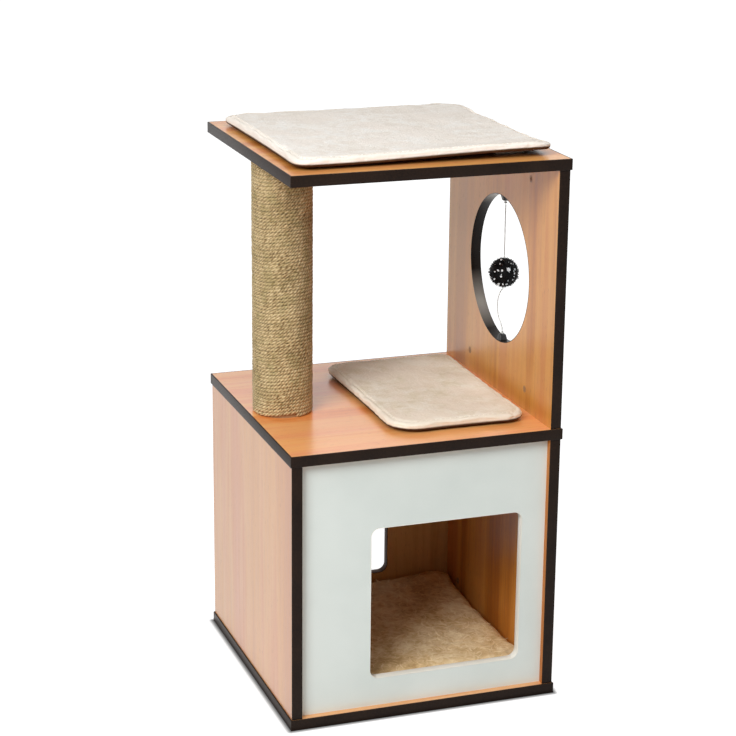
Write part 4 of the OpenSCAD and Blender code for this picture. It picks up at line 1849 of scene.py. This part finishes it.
@dataclass
class StringClip:
    """Moulded clip on the rim of the hole, with a cup for the string, and its peg in the panel.

    Its way up is 1 at the top of the hole and -1 at the bottom.
    """

    name: str
    node: str
    up: int
    hole: str = "upright_hole_band"
    taper: Range = (0.72, 0.66)
    corner: float = 1.8 * MM
    corner_steps: int = 4
    ease: float = 0.9 * MM
    ease_steps: int = 3
    cup_wall: float = 1.4 * MM
    cup_depth: float = 1.6 * MM
    cup_taper: float = 0.6
    peg_radius: float = 2 * MM
    peg_facets: int = 24
    peg_root: float = 2 * MM
    peg_ease: float = 0.4 * MM

    def cup(self, low: Vector, high: Vector) -> Piece:
        """Models the clip's body, which tapers to a cup.

        Args:
            low: Its lowest corner.
            high: Its highest corner.

        Returns:
            The body.
        """
        middle = (low + high) / 2
        piece = block(self.name, low, high)
        mark_faces(piece, lambda _middle, normal: normal.z * self.up < -SQUARE)
        with editing(piece):
            bpy.ops.transform.resize(value=(*self.taper, 1), center_override=middle)
        mark_edges(piece, lambda a, b: abs(a.z - b.z) > MM)
        with editing(piece, "EDGE"):
            bpy.ops.mesh.bevel(offset=self.corner, segments=self.corner_steps, affect="EDGES")
        mark_faces(piece, lambda _middle, normal: normal.z * self.up < -SQUARE)
        with editing(piece):
            bpy.ops.mesh.bevel(offset=self.ease, segments=self.ease_steps, affect="EDGES")
        mark_faces(piece, lambda _middle, normal: normal.z * self.up < -DEAD_SQUARE)
        with editing(piece):
            bpy.ops.mesh.inset(thickness=self.cup_wall)
            bpy.ops.mesh.extrude_region_move(
                TRANSFORM_OT_translate={"value": (0, 0, self.cup_depth * self.up)})
            bpy.ops.transform.resize(value=(self.cup_taper, self.cup_taper, 1), center_override=middle)
        return piece

    def peg(self, middle: Vector, rim: float, end: float) -> Piece:
        """Models the peg, which starts inside the body.

        Args:
            middle: Middle of the clip.
            rim: Height of the hole's rim.
            end: Height of the peg's end.

        Returns:
            The peg.
        """
        deselect()
        bpy.ops.mesh.primitive_cylinder_add(
            vertices=self.peg_facets, radius=self.peg_radius, depth=abs(end - rim) + self.peg_root,
            location=(middle.x, middle.y, (end + rim - self.peg_root * self.up) / 2))
        piece = settle(named(f"{self.name}_peg"))
        ease_edges(piece, self.peg_ease)
        return piece

    def build(self) -> Piece:
        """Models the clip.

        Returns:
            The clip.
        """
        low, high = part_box(self.node)
        hole_low, hole_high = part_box(self.hole)
        at_top = self.up > 0
        rim = hole_high.z - band_thickness() if at_top else hole_low.z + band_thickness()
        face, end = (low.z, high.z) if at_top else (high.z, low.z)
        cup = self.cup(Vector((low.x, low.y, min(rim, face))), Vector((high.x, high.y, max(rim, face))))
        piece = join([cup, self.peg((low + high) / 2, rim, end)], self.name)
        dress(smooth(piece), BLACK_PLASTIC)
        return add_piece(piece, BASE_BODY, "black_plastic", self.node)


@dataclass
class TinselBall:
    """Ball with a tufted core, curled black ribbons and bright flakes."""

    node: str = "toy_ball"
    finishes: tuple[Finish, ...] = (TINSEL_BLACK, TINSEL_SILVER)
    core: float = 0.94
    core_fineness: int = 5
    tuft: float = 1.1 * MM
    tuft_scale: float = 420.0
    ribbons: int = 1900
    ribbon: Range = (1.3 * MM, 7 * MM)
    ribbon_taper: float = 0.55
    ribbon_curl: float = 0.22
    ribbon_lean: float = 0.35
    ribbon_sizes: Range = (0.75, 1.0)
    ribbon_root: float = 0.72
    flakes: int = 110
    flake: float = 1.5 * MM
    flake_sides: int = 6
    flake_lean: float = 0.45
    flake_sizes: tuple[float, ...] = (0.35, 0.45, 0.6, 0.8, 1.1)
    flake_out: Range = (0.99, 1.03)
    big_flakes: Spots = (
        ((-0.06, -0.91, 0.40), 2.0),
        ((-0.54, -0.84, -0.03), 1.1),
        ((-0.84, -0.50, 0.23), 0.8),
        ((-0.15, -0.79, -0.59), 0.9),
        ((0.33, -0.94, 0.13), 0.9),
        ((0.19, -0.67, 0.72), 0.7),
        ((0.22, -0.94, -0.28), 0.8),
        ((-0.49, -0.50, 0.71), 0.7),
    )
    big_flake_out: float = 1.04
    seed: int = 11

    def core_stock(self, middle: Vector, radius: float) -> Piece:
        """Models the tufted core.

        Args:
            middle: Middle of the ball.
            radius: Radius of the core.

        Returns:
            The core.
        """
        deselect()
        bpy.ops.mesh.primitive_ico_sphere_add(subdivisions=self.core_fineness, radius=radius, location=middle)
        piece = settle(named("toy_tinsel_ball"))
        at = points_of(piece)
        out = (at - np.array(middle)) / radius
        set_points(piece, at + out * (self.tuft * noise_at(at, (self.tuft_scale, 1.0)))[:, None])
        return piece

    def ribbon_stock(self) -> Piece:
        """Models one curled ribbon of tinsel, standing up from the origin.

        Returns:
            The ribbon.
        """
        width, length = self.ribbon
        deselect()
        bpy.ops.mesh.primitive_grid_add(x_subdivisions=1, y_subdivisions=4, size=1)
        piece = named("tinsel_ribbon")
        at = points_of(piece)
        run = at[:, 1] + 0.5
        set_points(piece, np.stack([at[:, 0] * width * (1 - self.ribbon_taper * run),
                                    self.ribbon_curl * length * run ** 2, length * run], axis=1))
        return piece

    def flake_stock(self) -> Piece:
        """Models one flake, flat at the origin.

        Returns:
            The flake.
        """
        deselect()
        bpy.ops.mesh.primitive_circle_add(vertices=self.flake_sides, radius=self.flake, fill_type="NGON")
        return named("tinsel_flake")

    def build(self) -> Piece:
        """Models the ball.

        Returns:
            The ball.
        """
        low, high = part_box(self.node)
        middle, radius = (low + high) / 2, (high.z - low.z) / 2
        core = self.core_stock(middle, self.core * radius)
        ribbon, flake = self.ribbon_stock(), self.flake_stock()
        for stock in (core, ribbon, flake):
            dress(stock, *self.finishes)
        flake.data.polygons[0].material_index = self.finishes.index(TINSEL_SILVER)
        draw = random.Random(self.seed)
        copies = [core]
        for number in range(self.ribbons + self.flakes):
            bright = number >= self.ribbons
            height = 1 - 2 * draw.random()
            angle = FULL_TURN * draw.random()
            flat = math.sqrt(1 - height * height)
            outward = Vector((flat * math.cos(angle), flat * math.sin(angle), height))
            lean = Vector((draw.gauss(0, 1), draw.gauss(0, 1), draw.gauss(0, 1)))
            turn = upright_on(outward + lean * (self.flake_lean if bright else self.ribbon_lean))
            turn = turn @ Matrix.Rotation(FULL_TURN * draw.random(), 4, "Z")
            size = draw.choice(self.flake_sizes) if bright else draw.uniform(*self.ribbon_sizes)
            start = radius * (draw.uniform(*self.flake_out) if bright else self.ribbon_root)
            place = Matrix.Translation(middle + outward * start)
            copies.append(copy_of(flake if bright else ribbon, place @ turn @ Matrix.Scale(size, 4)))
        for direction, size in self.big_flakes:
            outward = Vector(direction)
            place = Matrix.Translation(middle + outward * (self.big_flake_out * radius))
            copies.append(copy_of(flake, place @ upright_on(outward) @ Matrix.Scale(size, 4)))
        for stock in (ribbon, flake):
            bpy.data.objects.remove(stock)
        piece = join(copies, "toy_tinsel_ball")
        smooth_all(piece)
        return add_piece(piece, "toy_ball", "toy_tinsel", self.node)


@dataclass
class HangingToy:
    """Tinsel ball on a string between two clips in the round hole, with the routes in millimetres."""

    upper_route: tuple[Point, ...] = tuple((185.5, 0, z) for z in (
        667.4, 664, 660, 655, 650, 645, 640, 635, 630, 625, 620, 615, 610, 605, 600, 595, 589.7))
    slack_top_route: tuple[Point, ...] = (
        (185.5, 0, 546.4), (185.2, 1.1, 544.2), (184.4, 3.7, 541.2), (183.6, 6.4, 537.6), (183, 8.4, 533.6),
        (182.5, 10, 529.2), (182.1, 11, 524.8), (182, 11.4, 520.8), (182, 11.5, 517))
    slack_end_route: tuple[Point, ...] = (
        (182, 11.5, 517), (182, 11.5, 513), (182.2, 11, 508.5), (182.6, 9.8, 504), (183.2, 8, 499.5),
        (183.9, 5.8, 495.5), (184.6, 3.4, 491.5), (185.1, 1.5, 488), (185.4, 0.3, 485), (185.5, 0, 482.2))

    def strings(self) -> None:
        """Models the three lengths of string."""
        upper = StringRun("toy_string_upper", "upper_string", self.upper_route, "taut").build()
        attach(upper, "toy_ball")
        slack_top = StringRun("toy_string_slack_top", "lower_string_top", self.slack_top_route,
                              "hanging").build()
        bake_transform(slack_top)
        slack_end = StringRun("toy_string_slack_end", "lower_string_end", self.slack_end_route,
                              "hanging").build()
        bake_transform(slack_end)

    def build(self) -> None:
        """Models the toy, its strings, knots and clips."""
        self.strings()
        StringKnot("toy_knot_upper", "upper_knot", "toy_swing", clip_above=True).build()
        StringKnot("toy_knot_lower", "lower_knot", BASE_BODY, clip_above=False).build()
        StringClip("toy_clip_upper", "upper_string_clip", 1).build()
        StringClip("toy_clip_lower", "lower_string_clip", -1).build()
        TinselBall().build()


# Studio


@dataclass(frozen=True)
class PhotoCamera:
    """Camera at the photograph's place, angle and field."""

    place: Point = (-0.99217, -2.74461, 1.32912)
    yaw: float = 0.34087
    pitch: float = 0.29496
    roll: float = 0.00974
    lens: float = 105.42
    sensor: float = 36.0
    clip: Range = (0.05, 60.0)

    def build(self) -> None:
        """Adds the camera and makes it the scene's own."""
        data = bpy.data.cameras.new("photo_camera")
        data.lens, data.sensor_width = self.lens, self.sensor
        data.clip_start, data.clip_end = self.clip
        ahead = Vector((math.sin(self.yaw) * math.cos(self.pitch), math.cos(self.yaw) * math.cos(self.pitch),
                        -math.sin(self.pitch)))
        level = Vector((math.cos(self.yaw), -math.sin(self.yaw), 0))
        over = level.cross(ahead)
        right = math.cos(self.roll) * level + math.sin(self.roll) * over
        up = math.cos(self.roll) * over - math.sin(self.roll) * level
        camera = bpy.data.objects.new("photo_camera", data)
        turn = Matrix((right, up, -ahead)).transposed().to_4x4()
        camera.matrix_world = Matrix.Translation(self.place) @ turn
        link(camera)
        bpy.context.scene.camera = camera


@dataclass(frozen=True)
class SoftLamp:
    """Large soft lamp that looks at the object's middle."""

    name: str
    place: Point
    size: float
    power: float
    aim: Point = (0.0, 0.0, 0.38)

    def build(self) -> None:
        """Adds the lamp."""
        data = bpy.data.lights.new(self.name, "AREA")
        data.size, data.energy = self.size, self.power
        lamp = bpy.data.objects.new(self.name, data)
        lamp.location = self.place
        lamp.rotation_euler = (Vector(self.aim) - Vector(self.place)).to_track_quat("-Z", "Y").to_euler()
        link(lamp)


@dataclass
class Studio:
    """White studio: floor, plain soft light and the camera."""

    ambient: float = 0.155
    lamps: tuple[SoftLamp, ...] = (
        SoftLamp("key_lamp", (-1.95, -1.75, 2.2), 1.5, 79.0),
        SoftLamp("front_lamp", (-0.35, -1.9, 2.7), 1.5, 14.0),
        SoftLamp("top_lamp", (-0.3, -0.5, 2.9), 1.6, 5.0),
        SoftLamp("rim_lamp", (0.95, -0.52, 2.34), 0.45, 5.0),
    )
    glow: Range = (0.91, 1.0)
    glow_reach: Range = (0.7, 3.0)
    # Painted contact shadow: within this reach of the base the floor's colour falls to the low tone and its
    # glow to nothing
    contact: Range = (0.0, 11 * MM)
    floor_tone: Range = (0.3, 0.62)
    floor_rough: float = 0.9
    floor_half: float = 12.0

    def world(self) -> None:
        """Builds the world: white to the camera and in reflections, and dimmer as light."""
        world = bpy.data.worlds.new("studio_world")
        bpy.context.scene.world = world
        world.use_nodes = True
        nodes = Nodes(world.node_tree)
        light, white = (nodes.add("ShaderNodeBackground", {"Color": WHITE, "Strength": strength}).outputs[0]
                        for strength in (self.ambient, 1.0))
        both = nodes.add("ShaderNodeMixShader", {0: nodes.seen(), 1: light, 2: white}).outputs[0]
        nodes.add("ShaderNodeOutputWorld", {"Surface": both})

    def floor(self) -> None:
        """Adds the pale floor, which takes the object's shadow and has a painted contact shadow close round
        its base.
        """
        deselect()
        bpy.ops.mesh.primitive_plane_add(size=2 * self.floor_half)
        piece = named("studio_floor")
        g = Graph("studio_floor", self.floor_rough, specular=0.0)
        place = g.place()
        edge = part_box("base_edge_band")[1]
        beyond = g.vector("SUBTRACT", g.vector("ABSOLUTE", place), (edge.x, edge.y, 0.0))
        off = g.vector("LENGTH", g.vector("MAXIMUM", beyond, (0.0, 0.0, 0.0)), output="Value")
        # Painted contact shadow round the base, in the floor's colour and its glow
        g.colour(g.fit(off, self.contact, self.floor_tone, "SMOOTHSTEP"))
        away = g.vector("LENGTH", place, output="Value")
        glow = g.math("MULTIPLY", g.fit(away, self.glow_reach, self.glow, "SMOOTHSTEP"),
                      g.fit(off, self.contact, (0.0, 1.0), "SMOOTHSTEP"))
        g.feed(g.shader.inputs["Emission Color"], WHITE)
        g.feed(g.shader.inputs["Emission Strength"], g.math("MULTIPLY", glow, g.seen()))
        piece.data.materials.append(g.material)

    def build(self) -> None:
        """Sets up the camera, the light and the floor."""
        bpy.context.scene.view_settings.view_transform = "Standard"
        PhotoCamera().build()
        self.world()
        for lamp in self.lamps:
            lamp.build()
        self.floor()


def main() -> None:
    """Builds every piece in order."""
    logging.basicConfig(level=logging.INFO, format="%(name)s: %(message)s", stream=sys.stdout)
    Studio().build()
    HangingToy().build()
    Boards().build()
    Fittings().build()
    SisalWinding().build()
    for cushion in CUSHIONS:
        cushion.build()


if __name__ == "__main__":
    main()
